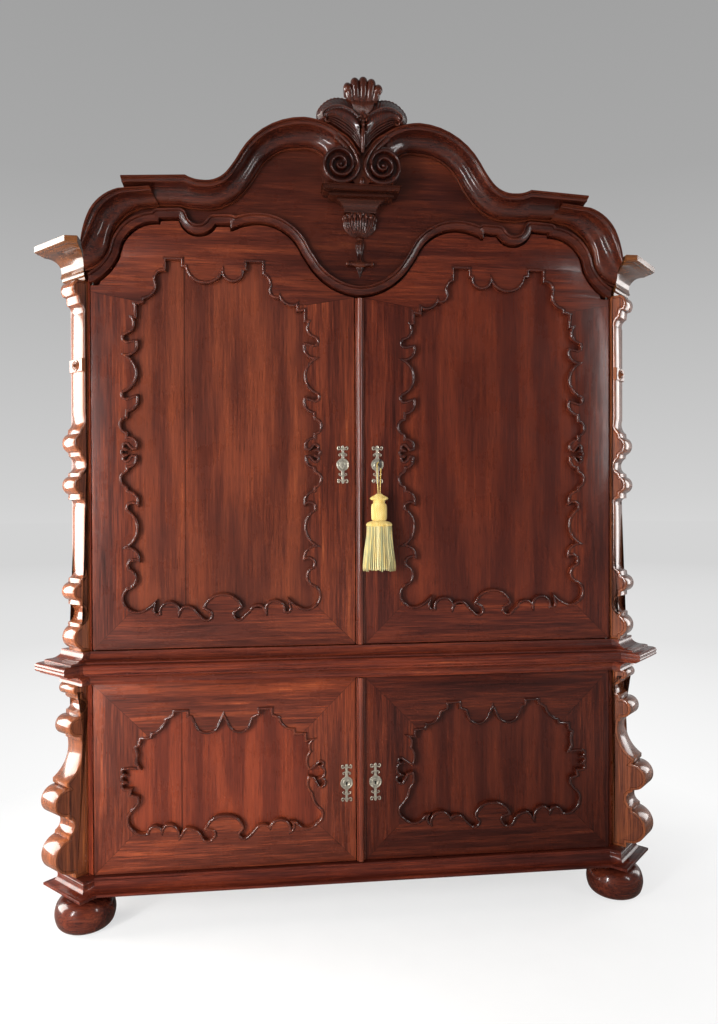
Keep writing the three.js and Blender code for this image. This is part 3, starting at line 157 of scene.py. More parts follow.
LOWER_PANEL_SHARES = [
    [0.8306, 0.708], [0.7905, 0.7097], [0.7881, 0.7301], [0.7505, 0.7606, 0.7347, 0.8048],
    [0.708, 0.8234], [0.7067, 0.8472], [0.6557, 0.8472], [0.6557, 0.8166], [0.6424, 0.8149],
    [0.6217, 0.7504], [0.5817, 0.725, 0.5428, 0.7572], [0.5222, 0.8183], [0.5015, 0.7572],
    [0.4627, 0.7233, 0.4262, 0.7521], [0.4141, 0.8014], [0.391, 0.8115], [0.3898, 0.8455],
    [0.3412, 0.8455], [0.3412, 0.8098], [0.3133, 0.7946], [0.2951, 0.747, 0.2574, 0.7301],
    [0.255, 0.7046], [0.2137, 0.7029], [0.2125, 0.6621], [0.1785, 0.674],
    [0.1979, 0.6452, 0.1943, 0.6061], [0.2089, 0.5637, 0.2016, 0.5127], [0.1846, 0.5229],
    [0.1651, 0.545], [0.1457, 0.5416, 0.1615, 0.5229], [0.1409, 0.4822, 0.1615, 0.4584],
    [0.1384, 0.4346, 0.1651, 0.4143], [0.1821, 0.4618], [0.2004, 0.4686],
    [0.2064, 0.4278, 0.1906, 0.3837], [0.1821, 0.3396, 0.1627, 0.3005], [0.1481, 0.2581, 0.1676, 0.2207],
    [0.1967, 0.1935, 0.2514, 0.2275], [0.2647, 0.2326], [0.2587, 0.2037, 0.2732, 0.1783],
    [0.3206, 0.2445, 0.3509, 0.2054], [0.3837, 0.2224, 0.4068, 0.1969], [0.4335, 0.1613],
    [0.4529, 0.1545, 0.4675, 0.1851], [0.4517, 0.2122], [0.4736, 0.2632, 0.5161, 0.2818],
    [0.5622, 0.2683, 0.5914, 0.2173], [0.5719, 0.2122], [0.5562, 0.1935, 0.561, 0.1681],
    [0.5829, 0.1494, 0.6072, 0.1783], [0.6351, 0.2156, 0.6618, 0.2241], [0.6752, 0.2054],
    [0.6885, 0.1749], [0.6946, 0.2156, 0.7165, 0.2462], [0.7407, 0.2411, 0.7529, 0.2088],
    [0.7772, 0.2428, 0.8039, 0.2071], [0.8306, 0.2037, 0.8549, 0.2224], [0.8767, 0.2666, 0.8537, 0.3413],
    [0.8367, 0.3752], [0.8403, 0.4024], [0.8695, 0.4126], [0.8646, 0.4448], [0.8852, 0.4431],
    [0.8986, 0.4618, 0.8828, 0.4805], [0.8998, 0.4992, 0.8828, 0.5178], [0.8986, 0.5365, 0.8828, 0.5535],
    [0.8646, 0.5552], [0.833, 0.5501], [0.8464, 0.5823], [0.8403, 0.6231], [0.8476, 0.6621],
    [0.833, 0.6757],
]
UPPER_REBATE_SHARES = [
    [0.136, 0.8], [0.136, 0.0594], [0.913, 0.0594], [0.913, 0.8263], [0.777, 0.915], [0.3254, 0.915],
    [0.1943, 0.815],
]
LOWER_REBATE_SHARES = [[0.1117, 0.1205], [0.9253, 0.1205], [0.9253, 0.8811], [0.1117, 0.8811]]

# Lines of the pediment, as shares of half the front and of the pediment's height
DOOR_TOP_SHARES = [
    [0.9333, 0.0412], [0.9209, 0.0364, 0.89, 0.0524], [0.8501, 0.1038, 0.8204, 0.1745],
    [0.7895, 0.274, 0.6868, 0.3351], [0.6868, 0.3511], [0.6194, 0.3575],
    [0.5532, 0.2837, 0.4984, 0.3335], [0.4458, 0.3367], [0.4447, 0.3126],
    [0.399, 0.3399, 0.3522, 0.3495], [0.2494, 0.2997, 0.2026, 0.2098], [0.1741, 0.1488],
    [0.101, 0.0524, 0, 0.0091],
]
OUTER_LOW_SHARES = [
    [0.9289, 0.0844], [0.8778, 0.1172, 0.8448, 0.1987], [0.8152, 0.3109, 0.7445, 0.3847],
    [0.6829, 0.3975],
]
OUTER_HIGH_SHARES = [
    [0.9227, 0.2031], [0.9122, 0.2734, 0.8956, 0.3328], [0.8578, 0.3969, 0.8044, 0.4359], [0.7057, 0.4516],
]
CROWN_LOW_SHARES = [
    [0.7850, 0.3990], [0.6133, 0.4039], [0.5757, 0.3943, 0.5369, 0.3911],
    [0.4536, 0.4168, 0.4046, 0.4713], [0.3749, 0.5258, 0.3476, 0.59], [0.2974, 0.667, 0.2062, 0.7038],
    [0.1583, 0.699, 0.1244, 0.65], [0.1022, 0.6719, 0.0711, 0.6828], [0.0467, 0.6734, 0.0244, 0.65],
]
CROWN_HIGH_SHARES = [
    [0.7955, 0.4922], [0.5889, 0.5078], [0.5622, 0.4925, 0.5347, 0.4875], [0.4856, 0.4989, 0.4547, 0.5312],
    [0.4328, 0.5719, 0.4098, 0.625], [0.333, 0.7406, 0.1961, 0.8031], [0.1292, 0.7844, 0.0711, 0.7391],
    [0.0511, 0.7219, 0.0307, 0.689], [0.017, 0.6563, 0.0072, 0.6344],
]

# Sections of the mouldings: how far up or out, as shares of the moulding's height and reach
CROWN_SHARES = [
    (0, 0), (0, 0.11), (0.035, 0.145), (0.06, 0.14), (0.07, 0.12), (0.08, 0.16), (0.13, 0.27), (0.2, 0.35),
    (0.29, 0.4), (0.38, 0.43), (0.45, 0.455), (0.53, 0.5), (0.61, 0.575), (0.68, 0.68), (0.73, 0.79),
    (0.74, 0.82), (0.745, 0.87), (0.79, 0.88), (0.82, 0.895), (0.86, 0.93), (0.885, 0.965), (0.89, 0.955),
    (0.9, 1), (0.985, 1), (1, 0.985), (1, 0),
]
BASE_SHARES = [
    [0.97, 0], [1, 0.03], [1, 0.174], [0.935, 0.217], [0.9, 0.225], [0.435, 0.391, 0.348, 0.804],
    [0.34, 0.84], [0.304, 0.87], [0.304, 1],
]
WAIST_SHARES = [
    [0.24, 0], [0.32, 0.2376, 0.76, 0.3267], [0.78, 0.3366], [0.86, 0.3366], [0.86, 0.3663], [0.88, 0.3763],
    [1.03, 0.4559, 1, 0.5149], [1.03, 0.5838, 0.88, 0.6634], [0.72, 0.6733], [0.72, 0.7129], [0.64, 0.7327],
    [0.26, 0.802, 0.16, 0.9703], [0.16, 1],
]
CORNICE_SHARES = [
    [0.1304, 0], [0.163, 0.0777], [0.2, 0.08], [0.2283, 0.1068], [0.2283, 0.1845], [0.26, 0.188],
    [0.2826, 0.2039], [0.3478, 0.6117, 0.7174, 0.7476], [0.75, 0.7476], [0.7826, 0.767], [0.84, 0.777],
    [0.8696, 0.8058], [0.93, 0.8052], [0.9565, 0.8252], [1, 0.84], [1, 1],
]

# Profiles of the corner scrolls, as shares of the scroll's thickness and of its height
UPPER_SCROLL_SHARES = [
    [0.2778, 1], [0.4537, 0.977, 0.3889, 0.9583], [0.287, 0.9566], [0.2593, 0.9371],
    [0.1389, 0.9273, 0.1296, 0.9087], [0.1296, 0.6418], [0.1389, 0.6144, 0.25, 0.6002], [0.2685, 0.5878],
    [0.4352, 0.5638, 0.2778, 0.539], [0.25, 0.5372], [0.2315, 0.5275], [0.0926, 0.5053, 0.2315, 0.4832],
    [0.2593, 0.4814], [0.2685, 0.4725], [0.4444, 0.4486, 0.2778, 0.4255], [0.2593, 0.4246],
    [0.2593, 0.4105], [0.1296, 0.4051, 0.1204, 0.3892], [0.1204, 0.2207],
    [0.1389, 0.2074, 0.2685, 0.1968], [0.287, 0.1853], [0.4815, 0.1622, 0.2963, 0.1383],
    [0.2778, 0.1374], [0.2778, 0.1259], [0.1019, 0.1002, 0.287, 0.0771], [0.2963, 0.0762],
    [0.2963, 0.0665], [0.4722, 0.0417, 0.2778, 0.0089], [0.2593, 0],
]
LOWER_SCROLL_SHARES = [
    [0.2593, 1], [0.4074, 0.9728, 0.3333, 0.9457], [0.213, 0.944], [0.213, 0.927], [0.1667, 0.9151],
    [0.037, 0.8829, 0.1944, 0.8506], [0.2037, 0.8302], [0.537, 0.7793, 0.287, 0.7284], [0.213, 0.725],
    [0.213, 0.7063], [0.1574, 0.6995], [0.1944, 0.5993, 0.6204, 0.5076], [0.6204, 0.4873],
    [0.5648, 0.4754], [0.9815, 0.4007, 0.6019, 0.3328], [0.5833, 0.3192],
    [0.3981, 0.2733, 0.5648, 0.2292], [0.5741, 0.2139], [0.9815, 0.1273, 0.5648, 0.0323],
    [0.3981, 0.0289], [0.3796, 0],
]

# Outlines

ARC_TURN = 0.26
ARC_STEP = 0.006
TINY = 1e-9


def arc(start, through, end, steps=None):
    """Points of the arc from start through a middle point to end, without the start."""
    a, b = through - start, end - start
    cross = 2 * (a.x * b.y - a.y * b.x)
    if abs(cross) < TINY:
        return [end]
    aa, bb = a.length_squared, b.length_squared
    centre = start + Vector((b.y * aa - a.y * bb, a.x * bb - b.x * aa)) / cross
    radius = (start - centre).length
    first = math.atan2(start.y - centre.y, start.x - centre.x)
    sweep = math.atan2(end.y - centre.y, end.x - centre.x) - first
    sweep = sweep % (2 * math.pi) if cross > 0 else -((-sweep) % (2 * math.pi))
    count = steps or max(2, math.ceil(abs(sweep) / ARC_TURN), math.ceil(radius * abs(sweep) / ARC_STEP))
    spots = [first + sweep * i / count for i in range(1, count)]
    return [centre + radius * Vector((math.cos(t), math.sin(t))) for t in spots] + [end]


def trace(rows, place, steps=None):
    """Points along a table of lines and arcs."""
    line = []
    for row in rows:
        end = Vector(place(row[-2], row[-1]))
        if len(row) == 2:
            line.append(end)
        else:
            line += arc(line[-1], Vector(place(row[0], row[1])), end, steps)
    return line


def backwards(rows):
    """The table run the other way, so that its mirror image can follow it."""
    out = []
    for i in range(len(rows) - 1, -1, -1):
        end = list(rows[i][-2:])
        bent = i + 1 < len(rows) and len(rows[i + 1]) == 4
        out.append([*rows[i + 1][:2], *end] if bent else end)
    return out


def mirrored(rows):
    return [[value if i % 2 else -value for i, value in enumerate(row)] for row in rows]


def thinned(line, least=0.0004):
    """A closed line without points that lie on top of each other."""
    kept = [line[0]]
    for point in line[1:]:
        if (point - kept[-1]).length > least:
            kept.append(point)
    if (kept[0] - kept[-1]).length < least:
        kept.pop()
    return kept


def area(line):
    return sum(a.x * b.y - b.x * a.y for a, b in zip(line, line[1:] + line[:1])) / 2


def sides(line, sharpest=0.5):
    """For each corner of a closed line, the step that moves it outwards by one unit."""
    sign = 1 if area(line) > 0 else -1
    out = []
    for before, point, after in zip(line[-1:] + line[:-1], line, line[1:] + line[:1]):
        a, b = (point - before).normalized(), (after - point).normalized()
        side = Vector((a.y + b.y, -a.x - b.x))
        side = side.normalized() if side.length > 1e-6 else Vector((a.y, -a.x))
        square = max(sharpest, math.sqrt(max(0, (1 + a.dot(b)) / 2)))
        out.append(side * sign / square)
    return out


def moved(line, out, step):
    """The line moved inwards by step, out being what sides() gives for it."""
    return [p - s * step for p, s in zip(line, out)]


def height_at(line, x):
    """Height of a line that runs from left to right."""
    for a, b in zip(line, line[1:]):
        if a.x <= x <= b.x:
            return b.y if b.x - a.x < TINY else a.y + (b.y - a.y) * (x - a.x) / (b.x - a.x)
    return line[0].y if x < line[0].x else line[-1].y


def round_angles(count):
    """The angles of count even steps round a full turn."""
    return [2 * math.pi * i / count for i in range(count)]


def smoothed(value, low, high):
    """0 below low, 1 above high, and an even rise between."""
    share = min(1.0, max(0.0, (value - low) / (high - low)))
    return share * share * (3 - 2 * share)


def smooth_line(points, count):
    """count points on an even curve through the given ones."""
    out = []
    last = len(points) - 1
    for i in range(count):
        spot = last * i / (count - 1)
        k = min(int(spot), last - 1)
        t = spot - k
        p0, p1, p2, p3 = (Vector(points[min(max(j, 0), last)]) for j in (k - 1, k, k + 1, k + 2))
        curve = 2 * p1 + (p2 - p0) * t + (2 * p0 - 5 * p1 + 4 * p2 - p3) * t * t
        out.append(0.5 * (curve + (3 * p1 - p0 - 3 * p2 + p3) * t ** 3))
    return out


# Meshes

SMOOTH_ANGLE = math.radians(38)
ROUNDER_ANGLE = math.radians(60)
MERGE = 1e-6


def ride(obj, body, slot, stands_for):
    """Put the object in the scene, on a body of the frame, in place of the nodes that it stands for."""
    bpy.context.scene.collection.objects.link(obj)
    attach(obj, body)
    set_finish(obj, slot)
    if stands_for:
        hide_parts(stands_for)
    return obj


def dress(name, mesh, body, slot, finish, stands_for="", smooth=SMOOTH_ANGLE):
    mesh.polygons.foreach_set("use_smooth", [True] * len(mesh.polygons))
    mesh.set_sharp_from_angle(angle=smooth)
    mesh.materials.append(bpy.data.materials[finish])
    return ride(bpy.data.objects.new(name, mesh), body, slot, stands_for)


def mirror_piece(obj, name, stands_for):
    """The same piece on the other side of the case."""
    mesh = obj.data.copy()
    flip(mesh)
    return ride(bpy.data.objects.new(name, mesh), "case", obj["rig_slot"], stands_for)


def flip(mesh):
    """Mirror the mesh over the middle line."""
    mesh.transform(Matrix.Scale(-1, 4, (1, 0, 0)))
    mesh.flip_normals()


class Shape:
    """Points and faces that grow into one mesh."""

    def __init__(self):
        self.points = []
        self.faces = []

    def add(self, points, faces):
        first = len(self.points)
        self.points += [Vector(p) for p in points]
        self.faces += [[first + i for i in face] for face in faces]

    def grid(self, rows, closed_rows=False, closed_columns=False, caps=False):
        """A skin over rows of points, each with the same number of columns."""
        count, width = len(rows), len(rows[0])
        faces = []
        for r in range(count if closed_rows else count - 1):
            for c in range(width if closed_columns else width - 1):
                s, d = (r + 1) % count, (c + 1) % width
                faces.append([r * width + c, r * width + d, s * width + d, s * width + c])
        if caps:
            faces.append(list(range(width))[::-1])
            faces.append([(count - 1) * width + c for c in range(width)])
        self.add([p for row in rows for p in row], faces)

    def solid(self, rows):
        """A closed body over rows of rings, flat at both ends."""
        self.grid(rows, closed_columns=True, caps=True)

    def tube(self, path, radius, facets=10):
        """A round body along a path; radius is a number or one number for each point."""
        rows = []
        side = None
        for i, point in enumerate(path):
            ahead = (path[min(i + 1, len(path) - 1)] - path[max(i - 1, 0)]).normalized()
            if side is None:
                side = ahead.orthogonal().normalized()
            side = (side - ahead * side.dot(ahead)).normalized()
            other = ahead.cross(side)
            r = radius[i] if hasattr(radius, "__len__") else radius
            turns = round_angles(facets)
            rows.append([point + r * (math.cos(t) * side + math.sin(t) * other) for t in turns])
        self.solid(rows)

    def turned(self, profile, centre, facets=48, axis="z", flat=(1, 1)):
        """A lathe shape: profile rows of radius and height, round an axis through centre."""
        rows = []
        for radius, height in profile:
            row = []
            for t in round_angles(facets):
                u, v = max(radius, 1e-5) * math.cos(t) * flat[0], max(radius, 1e-5) * math.sin(t) * flat[1]
                row.append(Vector((u, v, height)) if axis == "z" else Vector((u, height, v)))
            rows.append([Vector(centre) + p for p in row])
        self.solid(rows)

    def mesh(self, name):
        mesh = bpy.data.meshes.new(name)
        mesh.from_pydata([tuple(p) for p in self.points], [], self.faces)
        bm = bmesh.new()
        bm.from_mesh(mesh)
        bmesh.ops.remove_doubles(bm, verts=bm.verts, dist=MERGE)
        bmesh.ops.recalc_face_normals(bm, faces=bm.faces)
        bm.to_mesh(mesh)
        bm.free()
        return mesh

    def piece(self, name, body, slot, finish, stands_for="", smooth=SMOOTH_ANGLE):
        return dress(name, self.mesh(name), body, slot, finish, stands_for, smooth)


# Finishes


def screen(red, green, blue):
    """A colour as seen on a screen, from 0 to 255, as linear light."""
    shares = (red / 255, green / 255, blue / 255)
    return tuple(((v + 0.055) / 1.055) ** 2.4 if v > 10 / 255 else v / 12.92 for v in shares)


def grey(value):
    return screen(value, value, value)


def dimmed(share, colour):
    return tuple(share * c for c in colour)


class Nodes:
    """A node tree in the making."""

    def __init__(self, tree):
        self.tree = tree

    def node(self, kind, settings=None, **inputs):
        node = self.tree.nodes.new("ShaderNode" + kind)
        for key, value in (settings or {}).items():
            setattr(node, key, value)
        for key, value in inputs.items():
            self.feed(node.inputs[key.replace("_", " ")], value)
        return node

    def feed(self, socket, value):
        if isinstance(value, bpy.types.NodeSocket):
            self.tree.links.new(value, socket)
        else:
            socket.default_value = value

    def math(self, operation, *values):
        node = self.node("Math", {"operation": operation})
        for socket, value in zip(node.inputs, values):
            self.feed(socket, value)
        return node.outputs[0]

    def add(self, a, b):
        return self.math("ADD", a, b)

    def less(self, a, b):
        return self.math("SUBTRACT", a, b)

    def times(self, a, b):
        return self.math("MULTIPLY", a, b)

    def most(self, a, b):
        return self.math("MAXIMUM", a, b)

    def size(self, a):
        return self.math("ABSOLUTE", a)

    def vector(self, x, y, z):
        return self.node("CombineXYZ", X=x, Y=y, Z=z).outputs[0]

    def noise(self, vector, scale, detail=3, roughness=0.5, distortion=0):
        return self.node(
            "TexNoise", Vector=vector, Scale=scale, Detail=detail, Roughness=roughness, Distortion=distortion
        ).outputs["Fac"]

    def ramp(self, value, stops):
        """stops are (place, colour)."""
        node = self.node("ValToRGB", Fac=value)
        marks = node.color_ramp.elements
        while len(marks) < len(stops):
            marks.new(0.5)
        for mark, (place, colour) in zip(marks, stops):
            mark.position = place
            mark.color = (*colour, 1)
        return node.outputs["Color"]

    def span(self, value, low, high, start=0.0, end=1.0):
        """value from low to high becomes start to end, and no more."""
        node = self.node("MapRange", {"clamp": True})
        for socket, part in zip(node.inputs, (value, low, high, start, end)):
            self.feed(socket, part)
        return node.outputs[0]

    def mix(self, factor, a, b, blend="MIX"):
        node = self.node("Mix", {"data_type": "RGBA", "blend_type": blend})
        self.feed(node.inputs[0], factor)
        self.feed(node.inputs[6], a if isinstance(a, bpy.types.NodeSocket) else (*a, 1))
        self.feed(node.inputs[7], b if isinstance(b, bpy.types.NodeSocket) else (*b, 1))
        return node.outputs[2]

    def mix_vector(self, factor, a, b):
        node = self.node("Mix", {"data_type": "VECTOR"})
        for place, value in ((0, factor), (4, a), (5, b)):
            self.feed(node.inputs[place], value)
        return node.outputs[1]

    def mix_shaders(self, factor, a, b):
        node = self.node("MixShader")
        for socket, value in zip(node.inputs, (factor, a, b)):
            self.feed(socket, value)
        return node.outputs[0]

    def bump(self, height, distance, strength=1.0, under=None):
        node = self.node("Bump", Height=height, Distance=distance, Strength=strength)
        if under is not None:
            self.feed(node.inputs["Normal"], under)
        return node.outputs[0]


class Finish(Nodes):
    """A material's node tree, with the place on the piece at hand."""

    def __init__(self, name):
        material = bpy.data.materials.new(name)
        material.use_nodes = True
        super().__init__(material.node_tree)
        self.material = material
        self.shader = self.tree.nodes["Principled BSDF"]
        self.place = self.node("TexCoord").outputs["Object"]
        self.x, self.y, self.z = self.node("SeparateXYZ", Vector=self.place).outputs

    def set(self, **values):
        for key, value in values.items():
            self.feed(self.shader.inputs[key.replace("_", " ")], value)

    def pointiness(self):
        return self.node("NewGeometry").outputs["Pointiness"]


def along_grain(f, along, offset=0.0):
    """Coordinates with the grain on the third axis."""
    if along == "z":
        return f.vector(f.add(f.x, offset), f.y, f.z)
    return f.vector(f.add(f.z, offset), f.y, f.x)


# Depth over which the bead's darker tone comes in
BEAD_EDGE = 0.0015
# The broad, the middle and the fine streaks of the grain: stretch, scale, detail, roughness and bend
GRAIN = ((0.1, 5.0, 5, 0.6, 0.5), (0.06, 34, 5, 0.62, 0.35), (0.035, 190, 4, 0.65, 0))
GRAIN_WEIGHTS = 0.2, 0.43, 0.37
GRAIN_HALF = 0.17
ACROSS_SEED = 3.7
PORES = 0.03, 620
PLAIN_GLOSS = 0.25


def wood(name, tones, along="z", seed=0.0, gloss=PLAIN_GLOSS, contrast=1.0, zones=None, carved=0.0,
         figure=None, polish=0.14, joint=None, bead_depth=None):
    """Polished wood. tones are dark, middle, light and glow. zones mask where the grain lies level and where
    the mitres' lines run. carved darkens the hollows with dirt and painted shade and lightens the ridges with
    wear and a painted highlight, and figure adds arches of grain round a point. joint is where two boards meet.
    bead_depth is where a darker and glossier bead begins."""
    f = Finish(name)
    dark, middle, light, glow = tones
    grain = along_grain(f, along, seed)
    if zones:
        grain = f.mix_vector(zones[0](f), grain, along_grain(f, "x", seed + ACROSS_SEED))
    parts = f.node("SeparateXYZ", Vector=grain).outputs
    stretch = lambda share: f.vector(parts[0], parts[1], f.times(parts[2], share))
    broad, streak, fine = (f.noise(stretch(share), *noise) for share, *noise in GRAIN)
    value = f.add(f.times(broad, GRAIN_WEIGHTS[0]), f.times(streak, GRAIN_WEIGHTS[1]))
    value = f.add(value, f.times(fine, GRAIN_WEIGHTS[2]))
    if figure:
        (mid, low), size, strength = figure
        spot = f.vector(f.less(f.x, mid), 0.0, f.times(f.less(f.z, low), 0.17))
        arches = f.node(
            "TexWave",
            {"wave_type": "RINGS", "rings_direction": "SPHERICAL", "wave_profile": "SIN"},
            Vector=spot, Scale=size, Distortion=5.5, Detail=4.0, Detail_Scale=1.6, Detail_Roughness=0.6,
        ).outputs["Fac"]
        value = f.add(f.times(value, 1 - strength), f.times(arches, strength))
    value = f.span(value, 0.5 - GRAIN_HALF / contrast, 0.5 + GRAIN_HALF / contrast)
    colour = f.ramp(value, [(0.0, dark), (0.42, middle), (0.74, light), (1.0, glow)])
    pore = f.span(f.noise(stretch(PORES[0]), PORES[1], 2), 0.33, 0.42)
    colour = f.mix(f.times(f.less(1.0, pore), 0.55), colour, dimmed(0.35, dark))
    colour = f.mix(f.span(f.noise(f.place, 1.7), 0.35, 0.7, 0.0, 0.22), colour, dimmed(0.6, dark))
    if joint is not None:
        seam = f.size(f.less(f.x, joint))
        colour = f.mix(f.span(seam, 0.0012, 0.0035, 0.6, 0.0), colour, dimmed(0.4, dark))
    if zones:
        colour = f.mix(f.times(zones[1](f), 0.85), colour, dimmed(0.3, dark))
    if carved:
        # Dirt and painted shade darken the hollows; wear and a painted highlight lighten the ridges and beads.
        edge = f.pointiness()
        hollow, ridge = f.span(edge, 0.43, 0.5, 1.0, 0.0), f.span(edge, 0.508, 0.57)
        colour = f.mix(f.times(hollow, 0.75 * carved), colour, dimmed(0.25, dark))
        colour = f.mix(f.times(ridge, 0.4 * carved), colour, glow)
    smear = f.noise(f.place, 9.0, 4, 0.6)
    rough = f.add(f.span(smear, 0.3, 0.7, gloss - 0.05, gloss + 0.09), f.span(fine, 0.3, 0.7, 0.05, 0.0))
    if bead_depth is not None:
        bead = f.span(f.y, bead_depth - BEAD_EDGE, bead_depth, 1.0, 0.0)
        colour = f.mix(f.times(bead, 0.4), colour, dark)
        rough = f.times(rough, f.less(1.0, f.times(bead, 0.4)))
        polish = f.add(polish, f.times(bead, 0.85))
    f.set(Base_Color=colour, Metallic=0.0, IOR=1.5, Specular_IOR_Level=0.22)
    f.set(Roughness=rough, Coat_Weight=polish, Coat_Roughness=0.1, Coat_IOR=1.5)
    relief = (gloss / PLAIN_GLOSS) ** 2
    wave = f.bump(f.noise(stretch(0.3), 9.0, 2, 0.4), 0.004, 0.10 * relief)
    f.set(Normal=f.bump(f.add(f.times(pore, 0.5), fine), 0.0006, 0.16 * relief, wave))


# The joint between an upper door's top rail and its stiles rises from its lowest point towards both sides
RAIL_MID, RAIL_FLAT, RAIL_RISE, RAIL_LOW = 0.43, 0.26, 0.18, 1.922


def door_zones(low, high=None):
    """Masks for a door's front: where the rails' level grain lies, and the thin lines of the mitres.
    Without high the door is an upper one, whose top rail is shaped."""

    def edges(f):
        side = f.size(f.x)
        near = f.math("MINIMUM", f.less(side, MEET), f.less(DOOR_WIDE, side))
        below = f.less(near, f.less(f.z, low))
        if high:
            return below, f.less(near, f.less(high, f.z))
        spread = f.most(f.less(f.size(f.less(side, RAIL_MID)), RAIL_FLAT), 0.0)
        return below, f.less(f.z, f.math("MULTIPLY_ADD", spread, RAIL_RISE, RAIL_LOW))

    def across(f):
        return f.span(f.most(*edges(f)), -0.0003, 0.0003)

    def lines(f):
        below, above = edges(f)
        return f.span(f.math("MINIMUM", f.size(below), f.size(above)), 0.0004, 0.0011, 1.0, 0.0)

    return across, lines


def metal(name, colour, worn, rough, bite=0.5):
    """Cast metal with a patina in the hollows."""
    f = Finish(name)
    cloud = f.noise(f.place, 130, 4, 0.6)
    grime = f.span(f.pointiness(), 0.44, 0.5, 1.0, 0.0)
    tone = f.mix(f.span(cloud, 0.35, 0.65), colour, worn)
    tone = f.mix(f.times(grime, bite), tone, dimmed(0.3, worn))
    f.set(Base_Color=tone, Metallic=0.85, Roughness=f.span(cloud, 0.3, 0.7, rough - 0.06, rough + 0.14))
    f.set(Normal=f.bump(f.noise(f.place, 420, 3, 0.6), 0.0004, 0.25))


TWIST = 900.0


def silk(name, colours, strands=None):
    """Twisted silk thread: three colours wound together. strands is their count and the place and flatness of
    the ring in which they hang; each strand then takes a colour of its own and painted shade darkens its edges."""
    f = Finish(name)
    ply = f.math("SINE", f.add(f.times(f.z, TWIST), f.times(f.x, TWIST * 1.3)))
    drift = f.noise(f.vector(f.times(f.x, 6.0), f.times(f.y, 6.0), f.z), 24, 3, 0.6)
    tone = f.mix(f.span(drift, 0.38, 0.62), colours[0], colours[1])
    tone = f.mix(f.span(ply, -0.2, 0.9, 0.0, 0.55), tone, colours[2])
    if strands:
        count, mid, depth, flat = strands
        deep = f.math("DIVIDE", f.less(f.y, depth), flat)
        turn = f.times(f.math("ARCTAN2", deep, f.less(f.x, mid)), count / (2 * math.pi))
        pick = f.node("TexWhiteNoise", {"noise_dimensions": "1D"}, W=f.math("FLOOR", turn)).outputs["Value"]
        tone = f.mix(f.span(pick, 0.45, 0.55, 0.0, 0.85), tone, colours[1])
        tone = f.mix(f.span(pick, 0.8, 0.85, 0.0, 0.8), tone, colours[2])
        # Each strand is darker towards its edges: painted shade between the strands.
        aside = f.size(f.less(f.math("FRACT", turn), 0.5))
        tone = f.mix(f.span(aside, 0.22, 0.48, 0.0, 0.85), tone, dimmed(0.12, colours[0]))
    f.set(Base_Color=tone, Roughness=0.55, Sheen_Weight=0.4, Sheen_Roughness=0.4, Specular_IOR_Level=0.4)
    f.set(Normal=f.bump(ply, 0.0006, 0.5))


BOARDS_PER_METRE = 4.6


def plain_board(name, tones, along):
    """Unpolished inner boards with saw marks and open joints."""
    f = Finish(name)
    parts = f.node("SeparateXYZ", Vector=along_grain(f, along)).outputs
    long = f.vector(parts[0], parts[1], f.times(parts[2], 0.05))
    fine = f.noise(long, 160, 3, 0.6)
    value = f.add(f.times(f.noise(long, 14, 5, 0.6, 0.4), 0.7), f.times(fine, 0.3))
    tone = f.ramp(f.span(value, 0.32, 0.68), [(0.0, tones[0]), (0.55, tones[1]), (1.0, tones[2])])
    joint = f.size(f.less(f.math("FRACT", f.times(parts[0], BOARDS_PER_METRE)), 0.5))
    tone = f.mix(f.span(joint, 0.004, 0.012, 0.8, 0.0), tone, dimmed(0.3, tones[0]))
    f.set(Base_Color=tone, Roughness=f.span(fine, 0.3, 0.7, 0.55, 0.75), Specular_IOR_Level=0.3)
    f.set(Normal=f.bump(value, 0.0012, 0.3))

# Lines of this kas

CROWN_STEPS = 7
ROOF_RISE = 0.022


def scaled(wide, low, tall):
    """Turns shares into places: across from the middle line and up from low."""
    return lambda across, up: (across * wide, low + up * tall)


upper_place = scaled(DOOR_WIDE, WAIST_TOP, UPPER_TALL)
lower_place = scaled(DOOR_WIDE, BASE_TOP, LOWER_TALL)
pediment_place = scaled(PEDIMENT_HALF, LINE_BOTTOM, LINE_TALL)


def upper_opening():
    left = lambda x, z: upper_place(PANEL_AXIS / DOOR_WIDE - x, z)
    right = lambda x, z: upper_place(PANEL_AXIS / DOOR_WIDE + x, z)
    turn = UPPER_SIDE_SHARES[-1][-2:]
    back = backwards([turn, *UPPER_FOOT_SHARES[:-1]])
    line = trace(UPPER_HEAD_SHARES, upper_place) + trace(UPPER_SIDE_SHARES, left)
    line += trace([turn, *UPPER_FOOT_SHARES], left)[1:]
    line += trace(back, right)[1:] + trace(backwards(UPPER_SIDE_SHARES), right)[1:]
    return thinned(line)


def door_line():
    return trace(mirrored(DOOR_TOP_SHARES) + backwards(DOOR_TOP_SHARES)[1:], pediment_place)


def crown_edges(*rows):
    return [trace(edge, pediment_place, CROWN_STEPS) for edge in rows]


def roof_line():
    """The top of the front board, hidden behind the crown, from left to right."""
    right = [Vector((CASE_HALF, WALL_TOP + ROOF_RISE))]
    for low, high, start, end in (
        (OUTER_LOW_SHARES, OUTER_HIGH_SHARES, 0.767, 2), (CROWN_LOW_SHARES, CROWN_HIGH_SHARES, 0.2, 0.733)
    ):
        middle = [a.lerp(b, 0.5) for a, b in zip(*crown_edges(low, high))]
        right += [p for p in middle if start * PEDIMENT_HALF < p.x < end * PEDIMENT_HALF]
    return [Vector((-p.x, p.y)) for p in right] + right[::-1]


def placed(point, depth):
    """A point of the front, in metres, at a depth behind the doors' face."""
    return Vector((point[0], DOOR_FRONT + depth, point[1]))


def proud(x, z, out):
    """A point in millimetres: across, above the floor, and proud of the doors' face."""
    return Vector((x / 1000, DOOR_FRONT - out / 1000, z / 1000))


